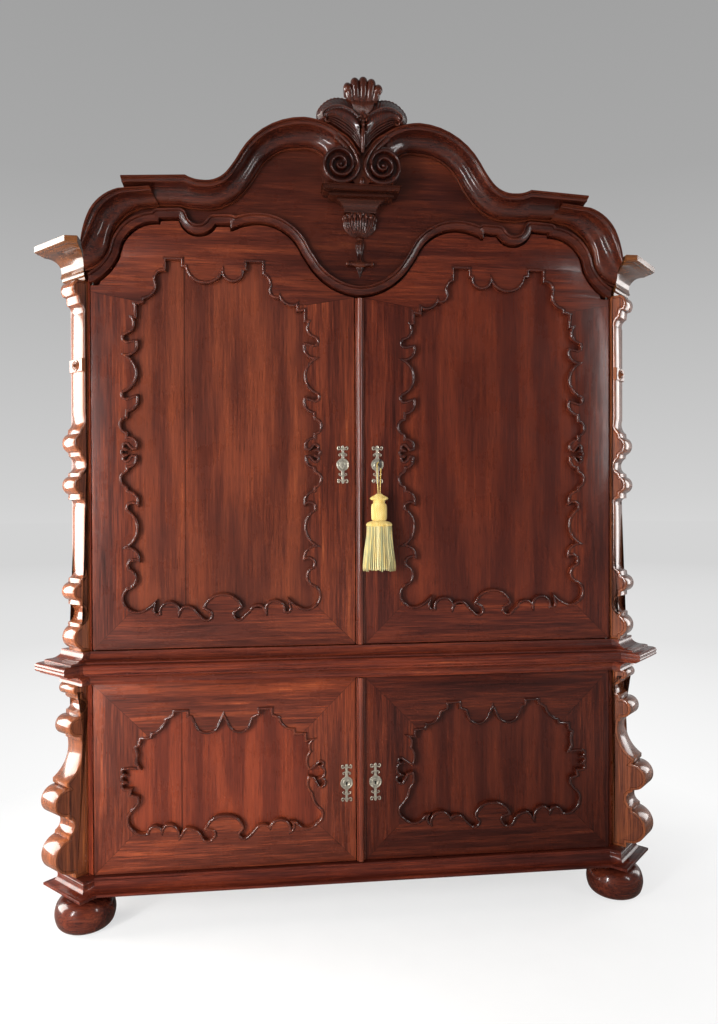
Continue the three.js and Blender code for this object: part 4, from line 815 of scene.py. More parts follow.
def proud_line(points, count):
    return [proud(*p) for p in smooth_line(points, count)]


def on_board(x, z):
    """A point just in front of the pediment's board."""
    return Vector((x, DOOR_FRONT + FACE - GAP, z))


# Doors

# Steps outwards and depths in millimetres
BEAD_SECTION = [
    (5.4, 0.4), (5.2, -0.9), (4.7, -1.1), (4.4, -2.2), (3.4, -4.1), (1.9, -5.3), (0.2, -5.7), (-1.6, -5.2),
    (-3.2, -3.9), (-4.3, -2.0), (-4.7, 0.2), (-4.7, 4.0), (-4.2, 13.2), (0.5, 13.0), (5.0, 3.0),
]
EDGE_WORN, EDGE_EASED = 0.0014, 0.3
LINE_STEP = 0.003
# The line over a door is kept clear this far to either side, because the door turns under it
PASS_INNER, PASS_OUTER = 0.0015, -0.004
PASS_BESIDE = 2e-5
# Near the pivot the door's top is flat, under the lowest part of the line there
FLAT_FROM, FLAT_OVER = DOOR_WIDE - 0.028, DOOR_WIDE - 0.015
OUTLINE_LEAST = 0.0012
STRIP_PINCH, STRIP_EASE, STRIP_ROWS, STRIP_SHORT = 0.93, 0.001, 12, 0.002


def sweep_round(shape, line, section):
    """A section carried round a closed line."""
    rows = [[placed(p + s * a / 1000, d / 1000) for a, d in section] for p, s in zip(line, sides(line))]
    shape.grid(rows, closed_rows=True, closed_columns=True)


def flat_faces(shape, outline, hole, depth):
    rings = [[placed(p, depth) for p in ring] for ring in (outline, hole)]
    shape.add(rings[0] + rings[1], [list(t) for t in tessellate_polygon(rings)])


def walls(shape, *rings, caps=False):
    shape.grid([[placed(p, depth) for p in ring] for ring, depth in rings], closed_columns=True, caps=caps)


def under_line(inner):
    """Top edge of an upper door, from the meeting line outwards."""
    line = door_line()
    steps = int((DOOR_WIDE - inner) / LINE_STEP) + 1
    xs = {inner, DOOR_WIDE, *(inner + LINE_STEP * i for i in range(steps))}
    for shift in (PASS_INNER, PASS_OUTER):
        for p in line:
            xs |= {p.x + shift - PASS_BESIDE, p.x + shift + PASS_BESIDE}
    flat = min(p.y for p in line if FLAT_OVER < p.x < 2 * POST_KNEE) - TOP_GAP
    top = []
    for x in sorted(x for x in xs if inner <= x <= DOOR_WIDE):
        z = min(height_at(line, x - PASS_INNER), height_at(line, x - PASS_OUTER)) - TOP_GAP
        top.append(Vector((x, min(z, flat) if x > FLAT_FROM else z)))
    return top


def door_frame(door, inner, opening, rebate, low, top, mirror):
    outline = thinned([Vector((inner, low)), Vector((DOOR_WIDE, low)), *reversed(top)], OUTLINE_LEAST)
    out = sides(outline)
    front = [p - s * EDGE_WORN for p, s in zip(outline, out)]
    eased = [p - s * EDGE_WORN * EDGE_EASED for p, s in zip(outline, out)]
    shape = Shape()
    flat_faces(shape, front, opening, 0)
    walls(shape, (front, 0), (eased, EDGE_WORN * EDGE_EASED), (outline, EDGE_WORN), (outline, DOOR_THICK))
    flat_faces(shape, outline, rebate, DOOR_THICK)
    walls(shape, (rebate, DOOR_THICK), (rebate, FRAME_FRONT))
    flat_faces(shape, rebate, opening, FRAME_FRONT)
    walls(shape, (opening, FRAME_FRONT), (opening, 0))
    sweep_round(shape, opening, BEAD_SECTION)
    name = f"{door}_door_board"
    mesh = shape.mesh(name)
    if mirror:
        flip(mesh)
    return dress(name, mesh, f"{door}_door", "door_mahogany", f"{door}_wood", f"{door}_door_frame")


def doors():
    upper_hole, lower_hole = upper_opening(), thinned(trace(LOWER_PANEL_SHARES, lower_place))
    upper_rebate = [Vector(upper_place(*p)) for p in UPPER_REBATE_SHARES]
    lower_rebate = [Vector(lower_place(*p)) for p in LOWER_REBATE_SHARES]
    for side, inner, mirror in (("right", -MEET, False), ("left", MEET + MEET_GAP, True)):
        door_frame(f"upper_{side}", inner, upper_hole, upper_rebate, UPPER_LOW, under_line(inner), mirror)
        top = [Vector((inner, LOWER_HIGH)), Vector((DOOR_WIDE, LOWER_HIGH))]
        door_frame(f"lower_{side}", inner, lower_hole, lower_rebate, LOWER_LOW, top, mirror)
    meeting_strip("upper", UPPER_LOW, min(p.y for p in door_line()) - TOP_GAP - STRIP_SHORT)
    meeting_strip("lower", LOWER_LOW, LOWER_HIGH)


# Half of the meeting strip's section in millimetres, from its edge to its middle
STRIP_SECTION = [
    (-14, 0), (-14, -3.2), (-13.4, -4.0), (-10.8, -4.0), (-10.2, -4.6), (-9.6, -6.6), (-8.2, -9.4),
    (-5.9, -11.8), (-3.1, -13.4),
]


def meeting_strip(level, low, high):
    section = [*STRIP_SECTION, (0, -14), *((-x, d) for x, d in reversed(STRIP_SECTION))]
    inner = [low + (high - low) * i / STRIP_ROWS for i in range(1, STRIP_ROWS)]
    heights = [low, low + STRIP_EASE, *inner, high - STRIP_EASE, high]
    rows = []
    for z in heights:
        pinch = STRIP_PINCH if z in (low, high) else 1.0
        rows.append([placed((x * pinch / 1000, z), d * pinch / 1000) for x, d in section])
    shape = Shape()
    shape.solid(rows)
    body = f"{level}_right_door"
    shape.piece(f"{level}_meeting_bead", body, "case_mahogany", "strip_wood", f"{level}_meeting_strip")


# Mouldings

# Heights over the doors' line and reaches in millimetres
FASCIA_SECTION = [
    (0, 3.4), (0.8, 4.5), (7, 5.4), (12, 7.4), (16.4, 9.4), (17.2, 8.6), (17.8, 8.6), (18.4, 10.2),
    (19.8, 13.2), (21.6, 15.3), (23.2, 16.0), (24.8, 15.4), (26.4, 13.2), (27.6, 9.6), (28, 5), (28.2, 0),
]
BOARD_BACK, DOOR_STOP = 0.014, 0.018
BOARD_STEP, BESIDE, CLOSEST = 0.0025, 3e-5, 2e-5
ROUND_STEP = 0.0008
# Near the middle the crown's hollow fades out: where, over what run, and to what share of its reach
FADE_START, FADE_RUN, FADE_FULL = 0.15, 0.12, 0.8


def raised_lines(xs, line, steps):
    """Heights of the lines that lie a given step away from the doors' line, above it."""
    px, pz = [p.x for p in line], [p.y for p in line]
    out = []
    for step in steps:
        best = np.interp(xs, px, pz)
        for aside in np.linspace(-step, step, max(3, int(step / ROUND_STEP))) if step else []:
            lift = math.sqrt(max(0.0, step * step - aside * aside))
            best = np.maximum(best, np.interp(xs + aside, px, pz) + lift)
        out.append(best)
    return out


def tympanum():
    line, roof = door_line(), roof_line()
    edge = POST_KNEE - GAP
    xs = set(np.arange(-edge, edge, BOARD_STEP)) | {edge}
    for p in line:
        xs |= {p.x - BESIDE, p.x + BESIDE}
    xs = np.array(sorted(x for x in xs if -edge <= x <= edge))
    xs = xs[[0] + [i for i in range(1, len(xs)) if xs[i] - xs[i - 1] > CLOSEST]]
    levels = raised_lines(xs, line, [d / 1000 for d, _ in FASCIA_SECTION])
    tops = np.interp(xs, [p.x for p in roof], [p.y for p in roof])
    rows = []
    for x, top, *heights in zip(xs, tops, *levels):
        row = [(FACE - reach / 1000, min(z, top - 0.001)) for (_, reach), z in zip(FASCIA_SECTION, heights)]
        foot = heights[0]
        stop = foot - (DOOR_STOP if abs(x) < POST_INNER else 0.0)
        row += [(FACE, top), (POST_FRONT + BOARD_BACK, top), (POST_FRONT + BOARD_BACK, stop)]
        row += [(POST_FRONT, stop), (POST_FRONT, foot)]
        rows.append([placed((x, z), depth) for depth, z in row])
    shape = Shape()
    shape.solid(rows)
    shape.piece("pediment_board", "case", "carved_mahogany", "pediment_wood", "tympanum")


def crown_half(shape, low_rows, high_rows, reach, mitred):
    """The crown's section set between its two edges; near the middle its hollow fades into the volute."""
    rows = []
    for i, (a, b) in enumerate(zip(*crown_edges(low_rows, high_rows))):
        row = []
        fade = min(1.0, max(0.0, (FADE_START - a.x) / FADE_RUN))
        for up, out in CROWN_SHARES:
            if 0 < out < FADE_FULL:
                out += (FADE_FULL - out) * fade
            aside = out if mitred and i == 0 else up
            row.append(placed((a.x + (b.x - a.x) * aside, a.y + (b.y - a.y) * up), FACE - GAP - out * reach))
        rows.append(row)
    shape.solid(rows)


def crowns():
    shape = Shape()
    crown_half(shape, OUTER_LOW_SHARES, OUTER_HIGH_SHARES, CROWN_REACH - CROWN_SET, False)
    crown_half(shape, CROWN_LOW_SHARES, CROWN_HIGH_SHARES, CROWN_REACH, True)
    right = shape.piece("crown_moulding_right", "case", "carved_mahogany", "crown_wood", "crown_right")
    mirror_piece(right, "crown_moulding_left", "crown_left")


CORNICE_REACH, CORNICE_RETURN, CORNICE_SIDE_SHARE, CORNICE_SPREAD = 0.092, 0.012, 0.38, 1.14
BASE_REACH, BASE_BLOCK = 0.046, (0.030, 1, 1)
WAIST_REACH, WAIST_BLOCK = 0.050, (0.020, 0.50, 1.75)
# The bottom board, inside the base moulding, and the rail on its back edge
BOARD_INSET, BOARD_TALL, RAIL_THICK = 0.022, 0.030, 0.014
BOX_FACES = ((0, 3, 2, 1), (4, 5, 6, 7), (0, 1, 5, 4), (1, 2, 6, 5), (2, 3, 7, 6), (3, 0, 4, 7))


def cornices():
    """The moulding that breaks forward over the canted corner and runs back flatter along the side."""
    section = trace(CORNICE_SHARES, scaled(CORNICE_REACH, SCROLL_TOP, CORNICE_TOP - SCROLL_TOP))
    section = [Vector((GAP, SCROLL_TOP)), *section, Vector((GAP, CORNICE_TOP))]
    columns = []
    for p in section:
        out = (CANT_FOOT + p.x * CORNICE_SPREAD) / DIAGONAL
        front, side = FACE - p.x, CASE_HALF + p.x
        turn, corner = Vector((out + front, front)), Vector((side, side - out))
        if turn.x > CORNICE_START:
            start = Vector((CORNICE_START, front))
        else:
            start = turn.lerp(corner, (CORNICE_START - turn.x) / (corner.x - turn.x))
            turn = start.lerp(corner, 0.02)
        behind, along = corner.y + CORNICE_RETURN, CASE_HALF + p.x * CORNICE_SIDE_SHARE
        stations = (start, turn, corner, (side, behind), (along, behind), (along, BACK))
        columns.append([placed((x, p.y), depth) for x, depth in stations])
    shape = Shape()
    shape.solid(list(zip(*columns)))
    right = shape.piece("cornice_moulding_right", "case", "case_mahogany", "cornice_wood", "cornice_right")
    mirror_piece(right, "cornice_moulding_left", "cornice_left")


def plan_corners(reach, lift, spread, forward):
    """Half the plan of a moulding that breaks forward round the corner scroll."""
    middle = CHEEK_FOOT + SCROLL_THICK / 2
    half = SCROLL_THICK / 2 + 0.002 + reach * spread
    front = CANT_FOOT + lift + reach * forward
    corner = lambda along, out: ((along + out) * DIAGONAL, (along - out) * DIAGONAL)
    inner, outer = (middle - half) / DIAGONAL, (middle + half) / DIAGONAL
    return [
        (inner + reach, -reach),
        corner(middle - half, front),
        corner(middle + half, front),
        (CASE_HALF + reach, outer - CASE_HALF - reach),
        (CASE_HALF + reach, BACK),
    ]


def run_round(name, stands_for, section, low, high, block, finish):
    """A moulding along both sides and the front; block is the lift, spread and forward of its corners."""
    start, end = Vector((POST_INNER + 0.001, POST_FRONT)), Vector((CASE_HALF - 0.03, POST_BACK - 0.001))
    inside = [tuple(start.lerp(end, share / 3)) for share in range(4)] + [(end.x, BACK)]
    plans = [(inside, low), *((plan_corners(p.x, *block), p.y) for p in section), (inside, high)]
    columns = []
    for right, z in plans:
        both = [(-a, b) for a, b in reversed(right)] + right
        columns.append([placed((a, z), b) for a, b in both])
    shape = Shape()
    shape.solid(list(zip(*columns)))
    return shape.piece(name, "case", "case_mahogany", finish, stands_for)


def base():
    """The base moulding, the bottom board behind it and the rail under the back boards."""
    section = trace(BASE_SHARES, scaled(BASE_REACH, BASE_BOTTOM, BASE_TOP - BASE_BOTTOM))
    obj = run_round("base_moulding", "base_plinth", section, BASE_BOTTOM, BASE_TOP, BASE_BLOCK, "base_wood")
    bm = bmesh.new()
    bm.from_mesh(obj.data)
    half, back, top = CASE_HALF - BOARD_INSET, DOOR_FRONT + BACK - GAP, BASE_BOTTOM + BOARD_TALL
    front = DOOR_FRONT + BOARD_INSET
    for front, low, high in ((front, BASE_BOTTOM, top), (back - RAIL_THICK, top, BASE_TOP)):
        plan = ((-half, front), (half, front), (half, back), (-half, back))
        verts = [bm.verts.new((x, y, z)) for z in (low, high) for x, y in plan]
        for face in BOX_FACES:
            bm.faces.new([verts[i] for i in face])
    bm.to_mesh(obj.data)
    bm.free()


def waist():
    section = trace(WAIST_SHARES, scaled(WAIST_REACH, WAIST_BOTTOM, WAIST_TOP - WAIST_BOTTOM))
    run_round("waist_run", "waist_moulding", section, WAIST_BOTTOM, WAIST_TOP, WAIST_BLOCK, "waist_wood")


# Corner scrolls


def circle(x, z, radius, count, tall=None):
    """A round or oval line."""
    up = tall or radius
    return [Vector((x + radius * math.cos(t), z + up * math.sin(t))) for t in round_angles(count)]


SCROLL_FOOT = CANT_FOOT + 0.003
# The rosette and its block: the height of their middle, half the block's height and how far it stands out
ROSETTE_Z, BLOCK_HALF, BLOCK_OUT, BLOCK_EASE = 1.723, 0.020, 0.007, 0.0015
ROSETTE_RADIUS = 0.018
# Radius and rise as shares of the rosette's radius
ROSETTE_SHARES = [
    (0, 0), (1, 0), (1, 0.30), (0.97, 0.44), (0.88, 0.54), (0.80, 0.52), (0.76, 0.36), (0.70, 0.30),
    (0.64, 0.36), (0.60, 0.50), (0.50, 0.62), (0.40, 0.60), (0.36, 0.46), (0.31, 0.42), (0.27, 0.52),
    (0.2, 0.78), (0.1, 0.93), (0, 0.97),
]


def canted(along, out, z):
    """A point of the right canted corner: along the cant from the front, out from it, and up."""
    return Vector(((along + out) * DIAGONAL, DOOR_FRONT + (along - out) * DIAGONAL, z))


def scroll_board(shape, rows, low, high, place):
    """The cut board, its edges eased, with a line cut into each cheek along the profile."""
    edge = trace(rows, lambda reach, up: (SCROLL_FOOT + reach * SCROLL_THICK, low + up * (high - low)))
    outline = thinned([Vector((CANT_FOOT, high)), *edge, Vector((CANT_FOOT, low))], 0.0008)
    out = sides(outline)
    inset = lambda step: [p - s * step for p, s in zip(outline, out)]
    work = bpy.context.scene.kas_sizes
    ease, line, cut = work.scroll_ease, work.scroll_line, work.scroll_cut
    near, wide = place
    rings = []
    for start, sign in ((near, 1), (near + wide, -1)):
        side = [
            (inset(line + 2 * cut), 0), (inset(line + cut), cut), (inset(line), 0),
            (inset(ease), 0), (inset(ease * EDGE_EASED), ease * EDGE_EASED), (outline, ease),
        ]
        rings += [[canted(start + sign * deep, p.x, p.y) for p in ring] for ring, deep in side[::sign]]
    shape.solid(rings)


def rosette(shape):
    reach = SCROLL_FOOT + 0.013
    near, wide = UPPER_SCROLL
    middle, half = near + wide / 2, wide / 2 + 0.001
    rows = []
    for out, pull in ((-0.004, 0), (BLOCK_OUT - BLOCK_EASE, 0), (BLOCK_OUT, BLOCK_EASE)):
        h, t = half - pull, BLOCK_HALF - pull
        spots = ((-h, -t), (h, -t), (h, t), (-h, t))
        rows.append([canted(middle + a, reach + out, ROSETTE_Z + b) for a, b in spots])
    shape.solid(rows)
    rings = []
    for radius, rise in ROSETTE_SHARES:
        spots = circle(middle, ROSETTE_Z, max(radius, 0.004) * ROSETTE_RADIUS, 32)
        rings.append([canted(p.x, reach + rise * ROSETTE_RADIUS, p.y) for p in spots])
    shape.solid(rings)


def corner_scrolls():
    upper, lower = Shape(), Shape()
    scroll_board(upper, UPPER_SCROLL_SHARES, WAIST_TOP + GAP, SCROLL_TOP - GAP, UPPER_SCROLL)
    rosette(upper)
    scroll_board(lower, LOWER_SCROLL_SHARES, BASE_TOP + GAP, WAIST_BOTTOM - GAP, LOWER_SCROLL)
    for level, shape in (("upper", upper), ("lower", lower)):
        name, node = f"{level}_corner_", f"{level}_scroll_"
        right = shape.piece(name + "right", "case", "case_mahogany", "scroll_wood", node + "right")
        mirror_piece(right, name + "left", node + "left")


# Feet

FOOT_RADIUS = 0.090
FOOT_ROWS = [
    [0, 0], [0.5, 0], [0.62, 0.01], [0.86, 0.075, 0.97, 0.22], [1.01, 0.40, 0.975, 0.58],
    [0.86, 0.745, 0.6, 0.84], [0.56, 0.845], [0.52, 0.855], [0.5, 0.87], [0.54, 0.885],
    [0.66, 0.92, 0.56, 0.955], [0.52, 0.965], [0.51, 0.975], [0.55, 1], [0, 1],
]
FOOT_PLACES = (("front", 0.856, 0.029), ("back", 0.790, 0.462))


def feet():
    profile = trace(FOOT_ROWS, scaled(FOOT_RADIUS, 0, BASE_BOTTOM - GAP))
    for end, x, depth in FOOT_PLACES:
        for side, way in (("left", -1), ("right", 1)):
            shape = Shape()
            shape.turned([tuple(p) for p in profile], placed((way * x, 0), depth), 64)
            name = f"{end}_{side}"
            shape.piece(f"bun_{name}", "case", "carved_mahogany", "turned_wood", f"foot_{name}")

# Carving

VOLUTE_X, VOLUTE_Z, VOLUTE_FACE = 0.066, 2.332, 0.070
VOLUTE_FACETS, VOLUTE_RINGS = 144, 76
# Radius of the ridge's middle after each quarter turn, from the side next to the other volute
RIDGE_RADII = [0.0565, 0.0525, 0.0500, 0.0465, 0.0375, 0.0320, 0.0275, 0.0230, 0.0165, 0.0125, 0.0095]
RIDGE_HALF, RIDGE_THINNER, RIDGE_TURNS = 0.0070, 0.14, 2.5
EYE_RADIUS = 0.0075
VOLUTE_ANGLE = math.radians(55)
# The crown's bead comes down between the volutes and becomes the outer ridge: across, up and proud, in mm
BEAD_ROUTE = [
    (74, 2424, 89), (61, 2413, 88), (46, 2399, 87), (33, 2384, 86), (22, 2367, 85), (14.5, 2350, 84.5),
    (10.5, 2338, 84), (9.8, 2324, 84),
]
# The flat web between the volutes, across and up in mm
WEB = [(0.2, 2279), (4, 2277), (16, 2275), (30, 2290), (30, 2350), (16, 2362), (0.2, 2362)]


def ridge_radius(turns):
    spot = min(max(turns * 4, 0), len(RIDGE_RADII) - 1.001)
    i = int(spot)
    return RIDGE_RADII[i] + (RIDGE_RADII[i + 1] - RIDGE_RADII[i]) * (spot - i)


def volute_rise(r, turns):
    """How far the ridge or the eye stands out from the drum's face."""
    rise = 0.0
    for lap in (0, 1, 2):
        if turns + lap <= RIDGE_TURNS:
            lie = abs(r - ridge_radius(turns + lap)) / (RIDGE_HALF * (1 - RIDGE_THINNER * (turns + lap)))
            if lie < 1:
                rise = max(rise, 0.008 + 0.012 * math.sqrt(1 - lie * lie))
    if r < EYE_RADIUS:
        rise = max(rise, 0.008 + 0.0115 * math.sqrt(1 - (r / EYE_RADIUS) ** 2))
    return rise


def volutes():
    """A drum with a spiral ridge that winds into a domed eye, as one skin over a round grid."""
    rows = [[] for _ in range(VOLUTE_RINGS + 1)]
    for t in round_angles(VOLUTE_FACETS):
        turns = ((t - math.pi) / (2 * math.pi)) % 1.0
        edge = ridge_radius(turns) + RIDGE_HALF
        for k, row in enumerate(rows):
            r = edge * k / VOLUTE_RINGS
            spot = (VOLUTE_X + r * math.cos(t), VOLUTE_Z + r * math.sin(t))
            row.append(placed(spot, -VOLUTE_FACE - volute_rise(r, turns)))
    shape = Shape()
    shape.solid(rows + [[on_board(p.x, p.z) for p in rows[-1]]])
    bead = smooth_line(BEAD_ROUTE, 40)
    shape.tube([proud(*p) for p in bead], 0.0058, 14)
    shape.tube([proud(p.x + 7, p.y - 5, p.z - 12) for p in bead], 0.0095, 12)
    web = [(x / 1000, z / 1000) for x, z in WEB]
    walls(shape, (web, FACE - GAP), (web, -0.073), caps=True)
    leaf_tip(shape, proud(0.2, 2285, 78), 0.0085, 0.013, 0.007)
    name, node = "volute_scroll_right", "volute_right"
    right = shape.piece(name, "case", "carved_mahogany", "carved_wood", node, VOLUTE_ANGLE)
    mirror_piece(right, "volute_scroll_left", "volute_left")


CONSOLE_LOW, CONSOLE_TALL, CONSOLE_HALF, CONSOLE_REACH = 2.207, 0.068, 0.123, 0.082
# Height, half width and reach as shares of the console's
CONSOLE_SHARES = [
    (0, 0.40, 0.36), (0.06, 0.415, 0.38), (0.09, 0.40, 0.36), (0.2, 0.42, 0.38), (0.32, 0.46, 0.42),
    (0.42, 0.52, 0.48), (0.48, 0.585, 0.54), (0.50, 0.60, 0.56), (0.53, 0.60, 0.56), (0.54, 0.78, 0.72),
    (0.57, 0.815, 0.76), (0.64, 0.825, 0.77), (0.70, 0.80, 0.75), (0.72, 0.78, 0.73), (0.74, 0.78, 0.73),
    (0.755, 0.92, 0.88), (0.80, 0.955, 0.93), (0.93, 0.96, 0.94), (0.95, 1, 1), (0.985, 1, 1),
    (1, 0.985, 0.985),
]


def console():
    rows = []
    for up, half, reach in CONSOLE_SHARES:
        x, z, depth = half * CONSOLE_HALF, CONSOLE_LOW + up * CONSOLE_TALL, -reach * CONSOLE_REACH
        rows.append([on_board(-x, z), placed((-x, z), depth), placed((x, z), depth), on_board(x, z)])
    shape = Shape()
    shape.solid(rows)
    shape.piece("console_slab", "case", "carved_mahogany", "console_wood", "console")


def half_turned(shape, profile, wide, deep, top, flutes=0, cut=0.0, facets=97):
    """The front half of a lathe shape on the board: rows of radius, distance under top and flute depth."""
    rows = []
    for radius, down, carved in profile:
        row = []
        for i in range(facets):
            t = -math.pi * i / (facets - 1)
            wave = abs(math.sin(flutes * t / 2)) if flutes else 1.0
            r = radius * (1 - cut * carved * (1 - wave ** 0.7))
            row.append(placed((r * wide * math.cos(t), top - down), FACE - GAP + r * deep * math.sin(t)))
        rows.append(row)
    shape.solid(rows)


def leaf_tip(shape, spot, wide, tall, deep=0.004):
    """A small rounded lobe."""
    rows = []
    for k in range(7):
        u = math.pi * (k + 0.02) / 6.04
        across, ahead, up = wide * math.sin(u), deep * math.sin(u), tall * math.cos(u)
        turns = round_angles(10)
        rows.append([spot + Vector((across * math.cos(t), ahead * math.sin(t), up)) for t in turns])
    shape.solid(rows)


# The shell drop: radius share, height under the part's top in metres, and share of the flutes' depth
SHELL_TOP, SHELL_BEADS = 2.2055, 9
SHELL_CUP = [
    (0.55, 0, 0), (0.93, 0.0005, 0.3), (0.99, 0.003, 1), (0.99, 0.008, 1), (0.93, 0.010, 1),
    (0.96, 0.013, 1), (1, 0.022, 1), (0.985, 0.032, 1), (0.93, 0.042, 1), (0.83, 0.051, 1), (0.68, 0.059, 1),
    (0.5, 0.0655, 1), (0.3, 0.0705, 0.6), (0.15, 0.073, 0),
]
SHELL_KNOB = [(0.3, 0, 0), (0.8, 0.002, 0), (1, 0.005, 0), (0.8, 0.009, 0), (0.5, 0.011, 0)]
SHELL_LEAVES = [
    (0.45, 0, 0), (0.8, 0.004, 1), (1, 0.013, 1), (0.92, 0.022, 1), (0.66, 0.034, 1), (0.55, 0.043, 0.5),
    (0.62, 0.053, 1), (0.95, 0.064, 1), (1.15, 0.071, 1), (1.1, 0.076, 0.5),
]
SHELL_TIP = [
    (0.8, 0, 0), (1, 0.004, 1), (0.9, 0.009, 1), (0.6, 0.015, 1), (0.4, 0.022, 0.5), (0.2, 0.032, 0),
    (0.08, 0.036, 0),
]
# The side leaves: across, out from the board and up, with the radius there
SHELL_WINGS = [
    (0, 0.011, 2.048, 0.0095), (0.012, 0.012, 2.0485, 0.0085), (0.020, 0.012, 2.0495, 0.0065),
    (0.028, 0.010, 2.0505, 0.0048), (0.033, 0.009, 2.051, 0.0058), (0.038, 0.009, 2.0515, 0.0078),
    (0.0425, 0.008, 2.052, 0.0066), (0.045, 0.007, 2.052, 0.0015),
]


def shell_drop():
    """The fluted cup under the console and the leafy drop below it."""
    shape = Shape()
    half_turned(shape, SHELL_CUP, 0.0535, 0.034, SHELL_TOP, flutes=34, cut=0.13, facets=205)
    for i in range(SHELL_BEADS):
        t = -math.pi * (i + 0.5) / SHELL_BEADS
        spot = placed((0.052 * math.cos(t), SHELL_TOP - 0.012), FACE + 0.033 * math.sin(t))
        leaf_tip(shape, spot, 0.0052, 0.0085)
    half_turned(shape, SHELL_KNOB, 0.012, 0.013, 2.1345, facets=33)
    half_turned(shape, SHELL_LEAVES, 0.0150, 0.017, 2.1250, flutes=12, cut=0.3, facets=73)
    for side in (-1, 1):
        path = [placed((side * x, z), FACE - out) for x, out, z, _ in SHELL_WINGS]
        shape.tube(path, [radius for *_, radius in SHELL_WINGS], 14)
    half_turned(shape, SHELL_TIP, 0.0125, 0.015, 2.046, flutes=10, cut=0.25, facets=61)
    shape.piece("shell_pendant", "case", "carved_mahogany", "carved_wood", "shell_drop", ROUNDER_ANGLE)


# The crest, with places in millimetres: across, above the floor, and proud of the doors' face
PLUME_STEM = [
    (3, 2373, 92), (9, 2397, 96), (17, 2421, 98), (37, 2444, 99), (64, 2461, 100), (88, 2469, 99),
    (104, 2467, 98), (109, 2458, 97),
]
PLUME_LOW = [
    (2, 2362, 84), (8, 2378, 86), (18, 2390, 86), (36, 2411, 86), (62, 2431, 86), (86, 2446, 88),
    (103, 2453, 90), (110, 2455, 93),
]
PLUME_EDGE = [
    (1, 2382, 78), (6, 2420, 84), (9, 2460, 86), (14, 2496, 88), (34, 2520, 88), (58, 2529, 86),
    (84, 2530, 84), (108, 2520, 84), (130, 2499, 84), (139, 2478, 84), (135, 2460, 86), (124, 2452, 90),
    (113, 2456, 94),
]
PLUME_HOOK = [
    (70, 2464, 103), (90, 2471, 103), (106, 2468, 102), (113, 2459, 102), (110, 2450, 102), (103, 2450, 101),
    (102, 2457, 100),
]
PLUME_TEETH, PLUME_RIBS, PLUME_BACK = 27, 4, 30
PLUME_COLUMNS = 26
# Steps of a plume over which its comb and its swell grow, and the heights of its swell and of its lines
PLUME_GROWTH, PLUME_SWELL, PLUME_PALM, RIM_LINE, STEM_LINE, RIB_TALL = 30, 17, 3.5, 2.6, 2.2, 4.5
# The outermost of the stalks that fan out between the plumes
STALKS = [(17, 2462, 86), (23, 2480, 98), (29, 2498, 104), (33, 2512, 103), (35, 2520, 96), (35, 2522, 80)]
STALK_COUNT = 17
CREST_STUMP = [(0, 2450, 84), (0, 2478, 84), (0, 2505, 78), (0, 2530, 70)]
# The knot's lobes: across at the foot and at the top, height of the top and width
KNOT_LOBES = [
    (-37, -46, 2569, 13), (-19, -24, 2585, 13.5), (1, 1, 2589, 13.5), (21, 26, 2584, 13.5),
    (38, 47, 2568, 13),
]
KNOT_HEART = [(1, 2500, 56), (1, 2525, 62), (1, 2552, 64), (1, 2580, 62)]
HEART_RADII = [0.034, 0.040, 0.043, 0.045, 0.046, 0.045, 0.043, 0.039, 0.032, 0.018]
# Berries where the plumes meet: across, up and radius
BERRIES = [
    (-17, 2473, 5), (-6, 2470, 5.5), (7, 2471, 5.5), (18, 2474, 5), (-9, 2459, 5), (2, 2457, 5.5),
    (12, 2460, 5), (2, 2445, 6.5),
]
CREST_DROP = [(2, 2440, 100), (2, 2425, 103), (1, 2408, 101), (1, 2388, 97), (1, 2366, 90)]
# Half the outline of the board behind the leaves, in metres from its foot
CREST_BOARD = [
    (0.006, 2.360), (0.018, 2.377), (0.034, 2.400), (0.060, 2.4215), (0.090, 2.440), (0.118, 2.4525),
    (0.118, 2.490), (0.075, 2.515), (0.030, 2.505),
]


def bell(value, middle, wide):
    return math.exp(-((value - middle) / wide) ** 2)


